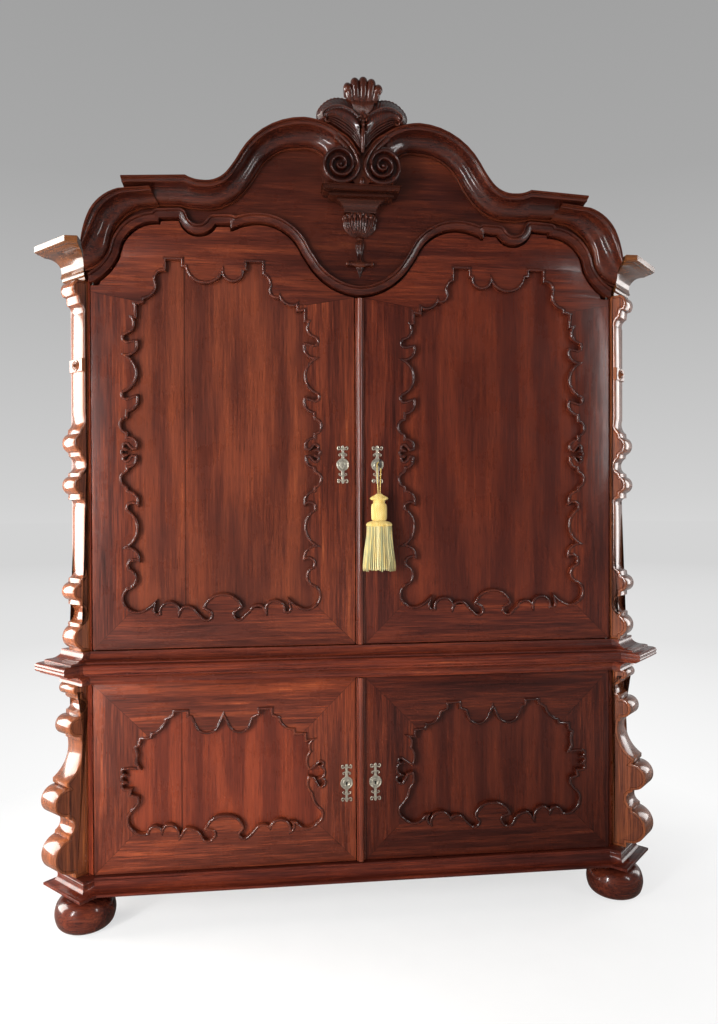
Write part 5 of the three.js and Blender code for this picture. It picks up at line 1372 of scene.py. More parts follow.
def plume(shape, side):
    """A leaf that curls outwards: a combed rim, a palm with a second comb, and ribs along its foot."""
    rays = 6 * PLUME_TEETH + 1
    stem, edge, low = (smooth_line(line, rays) for line in (PLUME_STEM, PLUME_EDGE, PLUME_LOW))
    depth = bpy.context.scene.kas_sizes.comb_depth * 1000
    spot = lambda p, out: proud(side * p.x, p.y, out)
    leaf = []
    for i, (a, b) in enumerate(zip(stem, edge)):
        comb = 1 - abs(math.sin(math.pi * PLUME_TEETH * (i + 0.5) / rays)) ** 0.7
        grown = min(1.0, i / PLUME_GROWTH)
        row = []
        for k in range(PLUME_COLUMNS + 1):
            t = k / PLUME_COLUMNS
            p = a.lerp(b, t)
            rim = smoothed(t, 0.60, 0.66)
            palm = smoothed(t, 0.34, 0.42) * (1 - smoothed(t, 0.50, 0.55))
            swell = PLUME_SWELL * math.sin(math.pi * min(1, t * 1.04)) * grown
            lift = swell - depth * grown * comb * (rim + 0.7 * palm)
            lift += RIM_LINE * bell(t, 0.58, 0.022) * grown - PLUME_PALM * palm
            lift += STEM_LINE * bell(t, 0.02, 0.05)
            if t == 1:
                p += (b - a).normalized() * (0.9 * (1 - comb))
            row.append(spot(p, p.z + lift))
        leaf.append(row + [spot(p, PLUME_BACK) for p in (b, a)])
    shape.solid(leaf)
    foot = []
    for a, b in zip(stem[::2], low[::2]):
        row = []
        for k in range(8 * PLUME_RIBS + 1):
            t = k / (8 * PLUME_RIBS)
            p = a.lerp(b, t)
            row.append(spot(p, p.z + RIB_TALL * abs(math.sin(math.pi * PLUME_RIBS * t)) ** 0.8))
        foot.append(row + [spot(p, PLUME_BACK) for p in (b, a)])
    shape.solid(foot)
    radii = [0.0016 + 0.0018 * math.sin(math.pi * min(1, 0.1 + i / 40)) for i in range(36)]
    shape.tube([spot(p, p.z) for p in smooth_line(PLUME_HOOK, 36)], radii)


def crest():
    shape = Shape()
    for side in (1, -1):
        plume(shape, side)
    for i in range(STALK_COUNT):
        lean = 2 * i / (STALK_COUNT - 1) - 1
        path = proud_line([(x * lean, z, out) for x, z, out in STALKS], 14)
        shape.tube(path, [0.0013 + 0.0011 * min(1, k / 7) for k in range(14)], 8)
    shape.tube(proud_line(CREST_STUMP, 12), [0.012 + 0.020 * k / 11 for k in range(12)], 16)
    for low, high, top, wide in KNOT_LOBES:
        path = proud_line([
            (low * 0.75, 2514, 78), (low, 2526, 96), (low + (high - low) * 0.5, 2545, 103),
            (high, top - 22, 106), (high, top - wide, 101), (high, top - wide, 86),
            (high * 0.95, top - 26, 70),
        ], 22)
        swell = [0.82 + 0.18 * math.sin(math.pi * min(1, 0.15 + k / 26)) for k in range(22)]
        shape.tube(path, [wide / 1000 * share for share in swell], 16)
    shape.tube(proud_line(KNOT_HEART, 10), HEART_RADII, 24)
    for x, z, r in BERRIES:
        leaf_tip(shape, proud(x, z, 102), r / 1000, r * 1.15 / 1000, r / 1000)
    swell = [0.0035 + 0.005 * math.sin(math.pi * (k + 1) / 15) for k in range(14)]
    shape.tube(proud_line(CREST_DROP, 14), swell)
    ring = CREST_BOARD + [(-x, z) for x, z in reversed(CREST_BOARD)]
    walls(shape, (ring, FACE - GAP), (ring, -0.072), caps=True)
    shape.piece("crest_leaves", "case", "carved_mahogany", "carved_wood", "crest", ROUNDER_ANGLE)


# Brass and silk

BRASS_ANGLE, KEY_ANGLE = math.radians(50), math.radians(45)
KEYHOLE_ANGLES = [math.radians(a) for a in range(-60, 241, 20)]
KEYHOLE = [Vector((0.004 * math.cos(t), 0.004 * math.sin(t))) for t in KEYHOLE_ANGLES]
KEYHOLE += [Vector((-0.0022, -0.012)), Vector((0.0022, -0.012))]
# The keyhole plate's rings, radius and height, and its stem, distance from the middle and half width, in mm
PLATE_RINGS = [
    (20, 0.3), (20, 1.6), (19.3, 2.4), (18.2, 2.8), (17.0, 2.5), (16.3, 1.7), (15, 1.6), (12, 1.6),
    (11.3, 1.9), (10.4, 2.7), (9.3, 2.8), (8.4, 2.2), (7.8, 1.7),
]
PLATE_STEM = [
    (18.5, 6.5), (22, 4.6), (27, 3.9), (31, 5.2), (34, 5.6), (37, 4.4), (42, 3.6), (47, 4.4), (52, 5.6),
    (57, 4.2), (60, 2.2),
]
PLATE_STEM_SECTION = ((-1, 0.3), (-1, 1.4), (-0.5, 2.3), (0.5, 2.3), (1, 1.4), (1, 0.3))
# The curls beside the stem, across and up, each with its radius at the start and at the end
PLATE_CURLS = [
    ([(3, 36), (7, 34.5), (11.2, 33), (12.4, 29.6), (10, 27.6), (8, 29.4)], 0.0021, 0.0013),
    ([(2, 50), (7.5, 49.5), (13, 47), (16, 51), (15.2, 56), (11.2, 56.6), (10.4, 53)], 0.0023, 0.0014),
]
CURL_HEIGHT, CURL_STEPS = 0.0022, 22


def plate_ring(shape, x, z):
    """The disc with its two raised rings, pierced by the keyhole."""
    walls(shape, *((circle(x, z, r / 1000, 48), -h / 1000) for r, h in PLATE_RINGS))
    hole = [Vector((x + p.x, z + p.y * 0.62)) for p in KEYHOLE]
    flat_faces(shape, circle(x, z, 0.0078, 48), hole, -0.0017)
    walls(shape, (hole, -0.0017), (hole, -0.0006))
    flat_faces(shape, circle(x, z, 0.020, 48), hole, -0.0003)
    walls(shape, (hole, -0.0006), (hole, -0.0003))


def escutcheon(name, x, z, body, node):
    """A pierced plate: a ringed disc on a stem that ends in curls above and below."""
    shape = Shape()
    plate_ring(shape, x, z)
    for way in (1, -1):
        stem = []
        for up, half in PLATE_STEM:
            spots = [(x + a * half / 1000, z + way * up / 1000) for a, _ in PLATE_STEM_SECTION]
            stem.append([placed(spot, -h / 1000) for spot, (_, h) in zip(spots, PLATE_STEM_SECTION)])
        shape.solid(stem)
        for side in (1, -1):
            for points, first, last in PLATE_CURLS:
                spine = [(x + side * a / 1000, z + way * b / 1000, CURL_HEIGHT) for a, b in points]
                radii = [first + (last - first) * k / (CURL_STEPS - 1) for k in range(CURL_STEPS)]
                shape.tube([placed(p, -p.z) for p in smooth_line(spine, CURL_STEPS)], radii, 8)
    shape.piece(name, body, "pale_brass", "old_brass", node, BRASS_ANGLE)


def keyhole_dark(name, x, z, body):
    """A dark disc behind the plate: painted shade in the keyhole."""
    shape = Shape()
    rings = ((0.0072, 0.00012), (0.0072, 0.00055), (0.0066, 0.0006))
    walls(shape, *((circle(x, z - 0.002, r, 20), -d) for r, d in rings), caps=True)
    shape.piece(name, body, "iron", "keyhole_shadow")


def plates():
    for level, x, z in (("upper", LOCK_X, UPPER_LOCK), ("lower", LOWER_LOCK_X, LOWER_LOCK)):
        for side, way in (("right", 1), ("left", -1)):
            body = f"{level}_{side}_door"
            escutcheon(f"{level}_plate_{side}", way * x, z, body, f"{level}_escutcheon_{side}")
            keyhole_dark(f"{level}_keyhole_{side}", way * x, z, body)


COVER_HALF, COVER_TALL = 0.008, 0.0128
# Share of the oval's size and height in millimetres
COVER_RINGS = [
    (1, 3.65), (1, 4.3), (0.93, 5.0), (0.8, 5.35), (0.66, 5.1), (0.5, 5.15), (0.25, 5.25), (0.02, 5.3),
]
COVER_STUD = [
    (0.0001, -0.0069), (0.0012, -0.0068), (0.0021, -0.0062), (0.0024, -0.0054), (0.0024, -0.0044),
    (0.0001, -0.0044),
]


def keyhole_cover():
    """An oval drop that swings on a stud over the left keyhole."""
    shape = Shape()
    x, z = -LOCK_X, UPPER_LOCK - 0.001
    rings = [(circle(x, z, COVER_HALF * s, 36, COVER_TALL * s), -rise / 1000) for s, rise in COVER_RINGS]
    walls(shape, *rings, caps=True)
    shape.turned(COVER_STUD, placed((x, z + 0.0095), 0), 16, "y")
    shape.piece("keyhole_drop", "keyhole_cover", "pale_brass", "old_brass", "keyhole_cover", BRASS_ANGLE)


# Radius and depth along the key's shank
KEY_SHANK = [
    (0.0001, -0.0585), (0.0026, -0.0582), (0.0034, -0.057), (0.0034, -0.0545), (0.0026, -0.0535),
    (0.0026, -0.030), (0.0036, -0.0292), (0.0042, -0.0275), (0.0036, -0.0258), (0.0028, -0.025),
    (0.003, -0.012), (0.003, 0.0392), (0.0001, 0.0394),
]
BOW_DEPTH, BOW_WIDE, BOW_TALL, BOW_ROUND = -0.069, 0.012, 0.0125, 0.0023
BIT_DEPTHS = 0.0335, 0.0360, 0.0390


def key():
    """A turned shank with collars, a bit and a heart-shaped ring bow seen edge on."""
    shape = Shape()
    shape.turned(KEY_SHANK, placed((LOCK_X, UPPER_LOCK), 0), 20, "y")
    ring = []
    for t in round_angles(40):
        dip = 0.0022 * math.exp(-((t - math.pi) / 0.5) ** 2)
        spot = (LOCK_X, UPPER_LOCK + BOW_TALL * math.sin(t))
        centre = placed(spot, BOW_DEPTH + (BOW_WIDE - dip) * math.cos(t))
        out = Vector((0, math.cos(t), math.sin(t)))
        ring.append([centre + BOW_ROUND * (math.cos(a) * out + 1.15 * math.sin(a) * Vector((1, 0, 0)))
                     for a in round_angles(10)])
    shape.grid(ring, closed_rows=True, closed_columns=True)
    half, low, high = 0.0014, UPPER_LOCK - 0.0108, UPPER_LOCK
    spots = [(LOCK_X + a, b) for a, b in ((-half, low), (half, low), (half, high), (-half, high))]
    walls(shape, *((spots, depth) for depth in BIT_DEPTHS), caps=True)
    shape.piece("door_key", "key", "iron", "dark_iron", "key", KEY_ANGLE)


# The cord's route in metres, as in the part's source: from the tassel's head over the key and back
CORD_LOOP = 0.0062
CORD_ROUND = 0.0016
CORD_TOP = UPPER_LOCK + 0.003 + CORD_ROUND + 0.001
CORD_RISE = [(0.516, 0), (0.677, 0.302), (1, 0.88), (0.82, 0.97), (0, 1)]
CORD_STEPS, CORD_TWIST = 90, 0.95
HEAD_TOP, HEAD_BOTTOM, SKIRT_BOTTOM = 1.330, 1.226, 1.084
HEAD_RADIUS, HEAD_FLAT, HEAD_FACETS, HEAD_RIBS = 0.040, 0.46, 132, 33
# Radius share, height and depth of the ribs, from the head's top down
HEAD_ROWS = [
    (0.10, 1.3298, 0), (0.24, 1.3290, 0), (0.30, 1.3255, 0.5), (0.46, 1.3225, 1), (0.62, 1.3185, 1),
    (0.70, 1.3140, 1), (0.62, 1.3105, 1), (0.46, 1.3085, 0.4), (0.42, 1.3065, 0), (0.50, 1.3050, 0),
    (0.44, 1.3030, 0), (0.47, 1.2990, 0.25), (0.57, 1.2960, 0.25), (0.61, 1.2880, 0.25),
    (0.62, 1.2740, 0.25), (0.61, 1.2620, 0.25), (0.60, 1.2520, 0.25), (0.56, 1.2475, 0.2), (0.50, 1.2455, 0),
    (0.60, 1.2440, 0), (0.74, 1.2420, 1), (0.90, 1.2385, 1), (0.99, 1.2335, 1), (0.96, 1.2290, 1),
    (0.84, 1.2268, 1), (0.30, 1.2262, 0),
]
FRINGE_STRANDS, FRINGE_STEPS, FRINGE_FLAT, FRINGE_SEED = 46, 12, 0.4, 7
FRINGE_CORE = [(0.030, HEAD_BOTTOM), (0.034, 1.19), (0.041, 1.14), (0.045, 1.096), (0.03, 1.094)]


def tassel_cord():
    """Three plies wound round the cord's route."""
    low, depth = HEAD_TOP + GAP, DOOR_FRONT + TASSEL_DEPTH
    up = [(LOCK_X + a * CORD_LOOP, depth, low + (CORD_TOP - low) * b) for a, b in CORD_RISE]
    path = smooth_line([(2 * LOCK_X - x, y, z) for x, y, z in up[:-1]] + up[::-1], CORD_STEPS)
    plies = Shape()
    for ply in range(3):
        wound = []
        for i, point in enumerate(path):
            ahead = (path[min(i + 1, CORD_STEPS - 1)] - path[max(i - 1, 0)]).normalized()
            side = Vector((0, 1, 0))
            other = ahead.cross(side).normalized()
            turn = i * CORD_TWIST + ply * 2 * math.pi / 3
            wound.append(point + 0.48 * CORD_ROUND * (math.cos(turn) * side + math.sin(turn) * other))
        plies.tube(wound, 0.52 * CORD_ROUND, 8)
    cord = plies.piece("tassel_loop", "tassel", "silk", "gold_silk", "tassel_cord", ROUNDER_ANGLE)


def tassel_head():
    rows = []
    for share, z, ribs in HEAD_ROWS:
        row = []
        for t in round_angles(HEAD_FACETS):
            r = HEAD_RADIUS * share * (1 + 0.055 * ribs * math.cos(HEAD_RIBS * t + (z - 1.23) * 240))
            row.append(placed((LOCK_X + r * math.cos(t), z), TASSEL_DEPTH + HEAD_FLAT * r * math.sin(t)))
        rows.append(row)
    shape = Shape()
    shape.solid(rows)
    shape.piece("tassel_knob", "tassel", "silk", "gold_silk", "tassel_head", ROUNDER_ANGLE)


def tassel_skirt():
    random.seed(FRINGE_SEED)
    shape = Shape()
    thick = bpy.context.scene.kas_sizes.strand_radius
    for i in range(FRINGE_STRANDS):
        t = 2 * math.pi * (i + 0.5) / FRINGE_STRANDS
        foot = SKIRT_BOTTOM + 0.001 + 0.007 * random.random()
        sway = 0.0016 * (random.random() - 0.5)
        line = []
        for k in range(FRINGE_STEPS + 1):
            s = k / FRINGE_STEPS
            r = 0.0365 + 0.0165 * s ** 1.35 - 0.003 * s ** 6
            r += sway * math.sin(3 * s) + 0.0008 * math.sin(7 * s + i)
            z = HEAD_BOTTOM + 0.0015 - (HEAD_BOTTOM - foot) * s
            line.append(placed((LOCK_X + r * math.cos(t), z), TASSEL_DEPTH + FRINGE_FLAT * r * math.sin(t)))
        shape.tube(line, [thick] * FRINGE_STEPS + [0.6 * thick], 9)
    shape.turned(FRINGE_CORE, placed((LOCK_X, 0), TASSEL_DEPTH), 40, "z", (1, FRINGE_FLAT))
    shape.piece("tassel_fringe", "tassel", "silk", "fringe_silk", "tassel_skirt", ROUNDER_ANGLE)

# Finishes of this kas

WOOD_TONES = screen(34, 12, 10), screen(72, 29, 21), screen(106, 46, 29), screen(144, 72, 42)
BRASS_TONE, IRON_TONE = screen(224, 216, 198), screen(86, 82, 78)
SILK_TONES = screen(204, 170, 84), screen(228, 204, 132), screen(112, 86, 40)
FRINGE_TONES = screen(212, 182, 104), screen(150, 152, 112), screen(236, 218, 160)
SHELF_TONES = screen(70, 46, 32), screen(104, 74, 52), screen(132, 98, 70)
BACK_TONES = screen(62, 42, 30), screen(92, 66, 46), screen(120, 90, 64)
BEAD_DEPTH = DOOR_FRONT - 0.0004
DOOR_PARTS = "upper_left", "upper_right", "lower_left", "lower_right"
KEPT = {f"{part}_door_panel": f"{part}_panel" for part in DOOR_PARTS}
KEPT |= {f"{level}_side_{side}": "side_wood" for level in ("lower", "upper") for side in ("left", "right")}
KEPT |= dict.fromkeys(("deck", "lower_shelf", "upper_shelf_low", "upper_shelf_high", "roof"), "inner_board")
KEPT |= dict.fromkeys(("lower_back", "upper_back"), "back_board")


def toned(red, share, gold=1.0):
    """The four tones of the wood, made redder or browner, lighter or darker, and more golden."""
    colours = bpy.context.scene.kas_colours
    tones = (colours.wood_dark, colours.wood_middle, colours.wood_light, colours.wood_glow)
    return [tuple(c * share * k for c, k in zip(tone, (red, gold, 1 / red))) for tone in tones]


def make_finishes():
    colours = bpy.context.scene.kas_colours
    upper, lower = door_zones(UPPER_LOW), door_zones(LOWER_LOW, LOWER_HIGH)
    # The left doors and panels are lighter and the right ones darker: partly tone that differs from board to
    # board, partly painted light on the left and painted shade on the right.
    wood("upper_left_wood", toned(1.0, 1.05, 1.08), "z", 0.3, bead_depth=BEAD_DEPTH, zones=upper)
    wood("upper_right_wood", toned(1.05, 0.75), "z", 1.9, bead_depth=BEAD_DEPTH, zones=upper, polish=0.1)
    wood("lower_left_wood", toned(1.05, 1.25, 1.12), "z", 2.7, bead_depth=BEAD_DEPTH, zones=lower)
    wood("lower_right_wood", toned(1.08, 0.52), "z", 4.1, bead_depth=BEAD_DEPTH, zones=lower, polish=0.08)
    wood("upper_left_panel", toned(0.98, 1.1, 1.12), "z", 0.9, figure=((-0.38, 1.62), 2.6, 0.12),
         contrast=0.62, joint=-0.545)
    wood("upper_right_panel", toned(1.05, 0.8), "z", 5.2, figure=((0.36, 1.55), 2.4, 0.14),
         contrast=0.5, polish=0.08)
    wood("lower_left_panel", toned(1.12, 1.25, 1.05), "z", 6.1, figure=((-0.40, 0.45), 2.8, 0.14),
         contrast=0.55, polish=0.08, joint=-0.56)
    wood("lower_right_panel", toned(1.08, 0.62), "z", 7.7, figure=((0.5, 0.4), 2.8, 0.12),
         contrast=0.55, polish=0.06)
    wood("strip_wood", toned(1.05, 0.9), "z", 0.4, gloss=0.16, carved=0.6, polish=0.8)
    wood("pediment_wood", toned(1.0, 0.47), "x", 2.2, carved=0.3)
    wood("crown_wood", toned(1.0, 0.42), "x", 3.3, gloss=0.18, carved=0.5, polish=0.3)
    wood("cornice_wood", toned(0.95, 1.0, 1.5), "x", 1.3, gloss=0.18, carved=0.6, polish=0.4)
    wood("waist_wood", toned(1.05, 1.0, 1.0), "x", 8.4, gloss=0.2, carved=0.4, polish=0.3)
    wood("base_wood", toned(1.08, 0.78, 0.95), "x", 9.1, polish=0.2)
    # The corner scrolls are lighter and more golden than the rest: a painted highlight of the window on their
    # faces.
    wood("scroll_wood", toned(0.98, 1.65, 1.35), "z", 0.7, gloss=0.18, carved=0.5, polish=0.6)
    wood("side_wood", toned(1.1, 1.0), "z", 6.6)
    wood("carved_wood", toned(1.0, 0.36), "z", 2.9, gloss=0.17, carved=0.7, polish=0.6)
    # The console is darker than the other carving: painted shade against the front lamp that lights its slopes.
    wood("console_wood", toned(1.0, 0.26), "x", 5.7, gloss=0.18, carved=0.4, polish=0.5)
    wood("turned_wood", toned(1.0, 0.7), "x", 4.4, gloss=0.18, carved=0.5, polish=0.5)
    plain_board("inner_board", SHELF_TONES, "x")
    plain_board("back_board", BACK_TONES, "z")
    metal("old_brass", tuple(colours.brass), dimmed(0.5, colours.brass), 0.3)
    metal("dark_iron", tuple(colours.iron), dimmed(0.38, colours.iron), 0.42)
    metal("keyhole_shadow", screen(12, 9, 8), screen(8, 6, 5), 0.7)
    silk("gold_silk", (tuple(colours.silk), *SILK_TONES[1:]))
    silk("fringe_silk", (tuple(colours.fringe), *FRINGE_TONES[1:]),
         (FRINGE_STRANDS, LOCK_X, DOOR_FRONT + TASSEL_DEPTH, FRINGE_FLAT))


def dress_kept_nodes():
    for name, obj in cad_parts.items():
        if not obj.hide_render:
            obj.data.materials.clear()
            obj.data.materials.append(bpy.data.materials[KEPT.get(name, "dark_iron")])


# Stage

CAMERA_PLACE = Vector((-0.2813, -2.6464, 1.2951))
CAMERA_YAW, CAMERA_PITCH, CAMERA_ROLL = -0.113883, -0.009353, -0.003336
CAMERA_LENS, CAMERA_SENSOR = 27.09, 36
FLOOR_RADII, FLOOR_DROP, FLOOR_MIRRORED = (0.01, 1, 3, 8, 20, 60), -0.0005, (0.2, 0.19, 0.18)
FLOOR_GREYS = ((0.3, grey(240)), (0.7, grey(245)))
FAR_GREYS = ((0.0, grey(255)), (0.1, grey(246)), (0.3, grey(228)), (1.0, grey(212)))
BACKDROP_GREYS = ((0.0, grey(224)), (0.16, grey(209)), (0.68, grey(168)), (1.0, grey(158)))
WARM, SOFT, MILD, WHITE = (1.0, 0.96, 0.9), (1.0, 0.97, 0.92), (1.0, 0.97, 0.95), (1, 1, 1)
# Each lamp's place, aim, size and colour, and whether it shows in polished things
LAMPS = {
    "window": ((-4.2, 0.4, 1.7), (-0.9, -0.2, 1.3), (2.2, 3.0), WARM, True),
    "room": ((-1.6, -5.4, 3.2), (0, 0, 1.2), (4.5, 2.5), WHITE, False),
    "side": ((4.6, 0.9, 1.8), (0.9, -0.2, 1.2), (1.2, 2.8), MILD, True),
    "lining": ((-3.4, -3.4, 2.0), (0, -0.2, 1.2), (0.3, 2.6), WHITE, True),
    "low": ((-2.3, -2.3, 0.8), (-0.4, -0.2, 0.8), (1.2, 1.5), SOFT, False),
    "rim": ((2.9, -2.6, 2.4), (0.4, -0.2, 1.7), (0.35, 1.8), WHITE, True),
}


def turned_by(angle, a, b):
    """Two axes at right angles, turned in their own plane."""
    return math.cos(angle) * a + math.sin(angle) * b, -math.sin(angle) * a + math.cos(angle) * b


def place_camera():
    camera = bpy.data.objects.new("camera", bpy.data.cameras.new("camera"))
    camera.data.lens = CAMERA_LENS
    camera.data.sensor_width = CAMERA_SENSOR
    right, level = turned_by(CAMERA_YAW, Vector((1, 0, 0)), Vector((0, 1, 0)))
    ahead, above = turned_by(CAMERA_PITCH, level, Vector((0, 0, 1)))
    side, top = turned_by(CAMERA_ROLL, right, above)
    turn = Matrix((side, top, -ahead)).transposed().to_4x4()
    camera.matrix_world = Matrix.Translation(CAMERA_PLACE) @ turn
    bpy.context.scene.collection.objects.link(camera)
    bpy.context.scene.camera = camera


def make_lamp(name, place, aim, size, colour, mirrored_too):
    data = bpy.data.lights.new(name, "AREA")
    data.shape = "RECTANGLE"
    data.size, data.size_y = size
    data.energy = getattr(bpy.context.scene.kas_light, name)
    data.color = colour
    obj = bpy.data.objects.new(name, data)
    way = Vector(aim) - Vector(place)
    obj.matrix_world = Matrix.Translation(place) @ way.to_track_quat("-Z", "Y").to_matrix().to_4x4()
    obj.visible_glossy = mirrored_too
    bpy.context.scene.collection.objects.link(obj)


def floor_finish():
    """Pale floor that keeps the shadow near the kas and fades to the backdrop's grey far away."""
    f = Finish("studio_floor")
    rays = f.node("LightPath").outputs
    away = f.math("SQRT", f.add(f.times(f.x, f.x), f.times(f.y, f.y)))
    pale = f.ramp(f.noise(f.place, 6), FLOOR_GREYS)
    f.set(Base_Color=f.mix(rays["Is Glossy Ray"], pale, FLOOR_MIRRORED), Roughness=0.9)
    f.set(Specular_IOR_Level=0.1)
    far = f.ramp(f.span(away, 1.0, 16.0), FAR_GREYS)
    mirrored = f.most(f.times(rays["Is Glossy Ray"], 0.5), rays["Is Transmission Ray"])
    seen = f.times(rays["Is Camera Ray"], f.span(away, 0.75, 1.7, 0.62, 1.0))
    seen = f.most(seen, f.times(mirrored, f.span(away, 1.7, 3.2)))
    glow = f.node("Emission", Color=far).outputs[0]
    surface = f.tree.nodes["Material Output"].inputs["Surface"]
    f.feed(surface, f.mix_shaders(seen, f.shader.outputs[0], glow))
    return f.material


def sky():
    """Grey backdrop for the camera, polish and metal, with a dim room in front of the kas in the last two."""
    world = bpy.context.scene.world or bpy.data.worlds.new("studio")
    bpy.context.scene.world = world
    world.use_nodes = True
    world.node_tree.nodes.clear()
    n = Nodes(world.node_tree)
    x, y, z = n.node("SeparateXYZ", Vector=n.node("TexCoord").outputs["Generated"]).outputs
    rays = n.node("LightPath").outputs
    cool = lambda level: (level * 0.98, level * 0.99, level)
    tint = n.ramp(n.span(x, -1.0, 1.0), [(0.0, cool(0.9)), (0.45, cool(0.26)), (1.0, cool(0.5))])
    backdrop = n.ramp(n.span(z, -0.1, 0.6), BACKDROP_GREYS)
    dim = n.mix(1.0, tint, (0.42, 0.42, 0.42), "MULTIPLY")
    behind = n.most(n.span(y, -0.1, 0.3), rays["Is Camera Ray"])
    fill = n.node("Background", Color=tint, Strength=bpy.context.scene.kas_light.fill).outputs[0]
    back = n.node("Background", Color=n.mix(behind, dim, backdrop)).outputs[0]
    seen = n.most(n.most(rays["Is Camera Ray"], rays["Is Transmission Ray"]), rays["Is Glossy Ray"])
    n.node("OutputWorld", Surface=n.mix_shaders(seen, fill, back))


def make_stage():
    bpy.context.scene.view_settings.view_transform = "Standard"
    shape = Shape()
    turns = round_angles(64)
    rows = [[Vector((r * math.cos(t), r * math.sin(t), FLOOR_DROP)) for t in turns] for r in FLOOR_RADII]
    shape.grid(rows, closed_columns=True)
    floor = bpy.data.objects.new("floor", shape.mesh("floor"))
    bpy.context.scene.collection.objects.link(floor)
    floor.data.materials.append(floor_finish())
    floor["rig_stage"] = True
    sky()
    for name, settings in LAMPS.items():
        make_lamp(name, *settings)


# Add-on


def power(name, description, default):
    return FloatProperty(name=name, description=description, default=default, min=0, unit="POWER")


def length(name, description, default):
    return FloatProperty(
        name=name, description=description, default=default, min=0, unit="LENGTH", precision=4
    )


def colour(name, description, default):
    return FloatVectorProperty(
        name=name, description=description, default=default, min=0, max=1, size=3, subtype="COLOR"
    )


class KasLight(PropertyGroup):
    """Lamps of the stage"""

    window: power("Window", "Power of the lamp on the left", 310)
    room: power("Room", "Power of the soft lamp in front", 70)
    side: power("Side", "Power of the lamp on the right", 60)
    lining: power("Lining", "Power of the narrow lamp at the left front", 130)
    low: power("Low", "Power of the low lamp at the left front", 92)
    rim: power("Rim", "Power of the narrow lamp at the right front", 30)
    fill: FloatProperty(name="Fill", description="Strength of the even light all round", default=0.45, min=0)


class KasSizes(PropertyGroup):
    """Sizes of the work that shows on the kas"""

    comb_depth: length("Comb depth", "Depth of the fine lines in the crest's leaves", 0.0032)
    strand_radius: length("Strand radius", "Half the thickness of a strand of the tassel's fringe", 0.0027)
    scroll_ease: length("Scroll edge", "Rounding of the corner scrolls' edges", 0.0016)
    scroll_line: length("Scroll line", "Distance of the cut line from the corner scrolls' edges", 0.0075)
    scroll_cut: length("Scroll cut", "Depth of the line cut into the corner scrolls", 0.0012)


class KasColours(PropertyGroup):
    """Colours of the wood, the metal and the silk"""

    wood_dark: colour("Wood, dark", "Darkest grain of the mahogany", WOOD_TONES[0])
    wood_middle: colour("Wood, middle", "Ground colour of the mahogany", WOOD_TONES[1])
    wood_light: colour("Wood, light", "Light grain of the mahogany", WOOD_TONES[2])
    wood_glow: colour("Wood, glow", "Lightest grain of the mahogany", WOOD_TONES[3])
    brass: colour("Brass", "Pale old brass of the keyhole plates", BRASS_TONE)
    iron: colour("Iron", "Iron of the key, the locks and the door pins", IRON_TONE)
    silk: colour("Silk", "Cord and head of the tassel", SILK_TONES[0])
    fringe: colour("Fringe", "Fringe of the tassel", FRINGE_TONES[0])


class KAS_OT_stage(Operator):
    """Set the camera, the lamps, the floor and the backdrop"""

    bl_idname = "kas.stage"
    bl_label = "Stage"

    def execute(self, context):
        place_camera()
        make_stage()
        return {"FINISHED"}


class KAS_OT_finishes(Operator):
    """Make the wood, brass, iron and silk finishes"""

    bl_idname = "kas.finishes"
    bl_label = "Finishes"

    def execute(self, context):
        make_finishes()
        return {"FINISHED"}


class KAS_OT_tassel(Operator):
    """Hang the tassel on the key"""

    bl_idname = "kas.tassel"
    bl_label = "Tassel"

    def execute(self, context):
        tassel_cord()
        tassel_head()
        tassel_skirt()
        return {"FINISHED"}


class KAS_OT_doors(Operator):
    """Build the four doors with their beads and meeting strips"""

    bl_idname = "kas.doors"
    bl_label = "Doors"

    def execute(self, context):
        doors()
        return {"FINISHED"}


class KAS_OT_mouldings(Operator):
    """Build the pediment, the cornices, the waist and the base"""

    bl_idname = "kas.mouldings"
    bl_label = "Mouldings"

    def execute(self, context):
        tympanum()
        crowns()
        cornices()
        waist()
        base()
        return {"FINISHED"}


class KAS_OT_corners(Operator):
    """Build the scrolled corner boards and the bun feet"""

    bl_idname = "kas.corners"
    bl_label = "Corners and feet"

    def execute(self, context):
        corner_scrolls()
        feet()
        return {"FINISHED"}


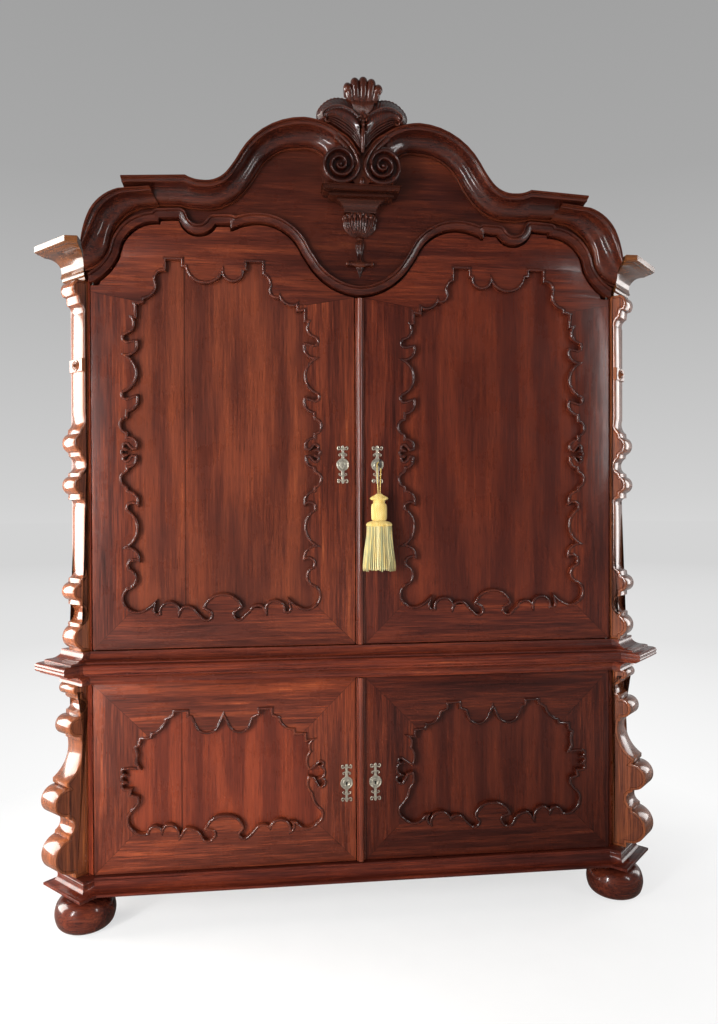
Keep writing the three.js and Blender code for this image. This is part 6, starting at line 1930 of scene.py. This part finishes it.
class KAS_OT_carving(Operator):
    """Carve the volutes, the console, the shell and the crest"""

    bl_idname = "kas.carving"
    bl_label = "Carving"

    def execute(self, context):
        volutes()
        console()
        shell_drop()
        crest()
        return {"FINISHED"}


class KAS_OT_fittings(Operator):
    """Fit the keyhole plates, the cover and the key"""

    bl_idname = "kas.fittings"
    bl_label = "Fittings"

    def execute(self, context):
        plates()
        keyhole_cover()
        key()
        return {"FINISHED"}


class KAS_OT_kept(Operator):
    """Give the boards, panels, pins and locks of the frame their finishes"""

    bl_idname = "kas.kept"
    bl_label = "Boards and panels"

    def execute(self, context):
        dress_kept_nodes()
        return {"FINISHED"}


STEPS = (
    KAS_OT_stage, KAS_OT_finishes, KAS_OT_tassel, KAS_OT_doors, KAS_OT_mouldings, KAS_OT_corners,
    KAS_OT_carving, KAS_OT_fittings, KAS_OT_kept,
)


class KAS_PT_panel(Panel):
    """Lists the steps that build the kas"""

    bl_idname = "KAS_PT_panel"
    bl_label = "Kas"
    bl_space_type = "VIEW_3D"
    bl_region_type = "UI"
    bl_category = "Kas"

    def draw(self, context):
        column = self.layout.column(align=True)
        for group in (context.scene.kas_sizes, context.scene.kas_colours, context.scene.kas_light):
            for name in group.__annotations__:
                column.prop(group, name)
        for step in STEPS:
            column.operator(step.bl_idname)


CLASSES = (KasLight, KasSizes, KasColours, *STEPS, KAS_PT_panel)


def register():
    for cls in CLASSES:
        bpy.utils.register_class(cls)
    bpy.types.Scene.kas_light = PointerProperty(type=KasLight)
    bpy.types.Scene.kas_sizes = PointerProperty(type=KasSizes)
    bpy.types.Scene.kas_colours = PointerProperty(type=KasColours)


def unregister():
    del bpy.types.Scene.kas_colours
    del bpy.types.Scene.kas_sizes
    del bpy.types.Scene.kas_light
    for cls in reversed(CLASSES):
        bpy.utils.unregister_class(cls)


def main():
    register()
    for step in STEPS:
        group, name = step.bl_idname.split(".")
        getattr(getattr(bpy.ops, group), name)()
    sizes = {"cad": [list(corner) for corner in cad_box], "visual": [list(corner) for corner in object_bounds()]}


if __name__ == "__main__":
    main()
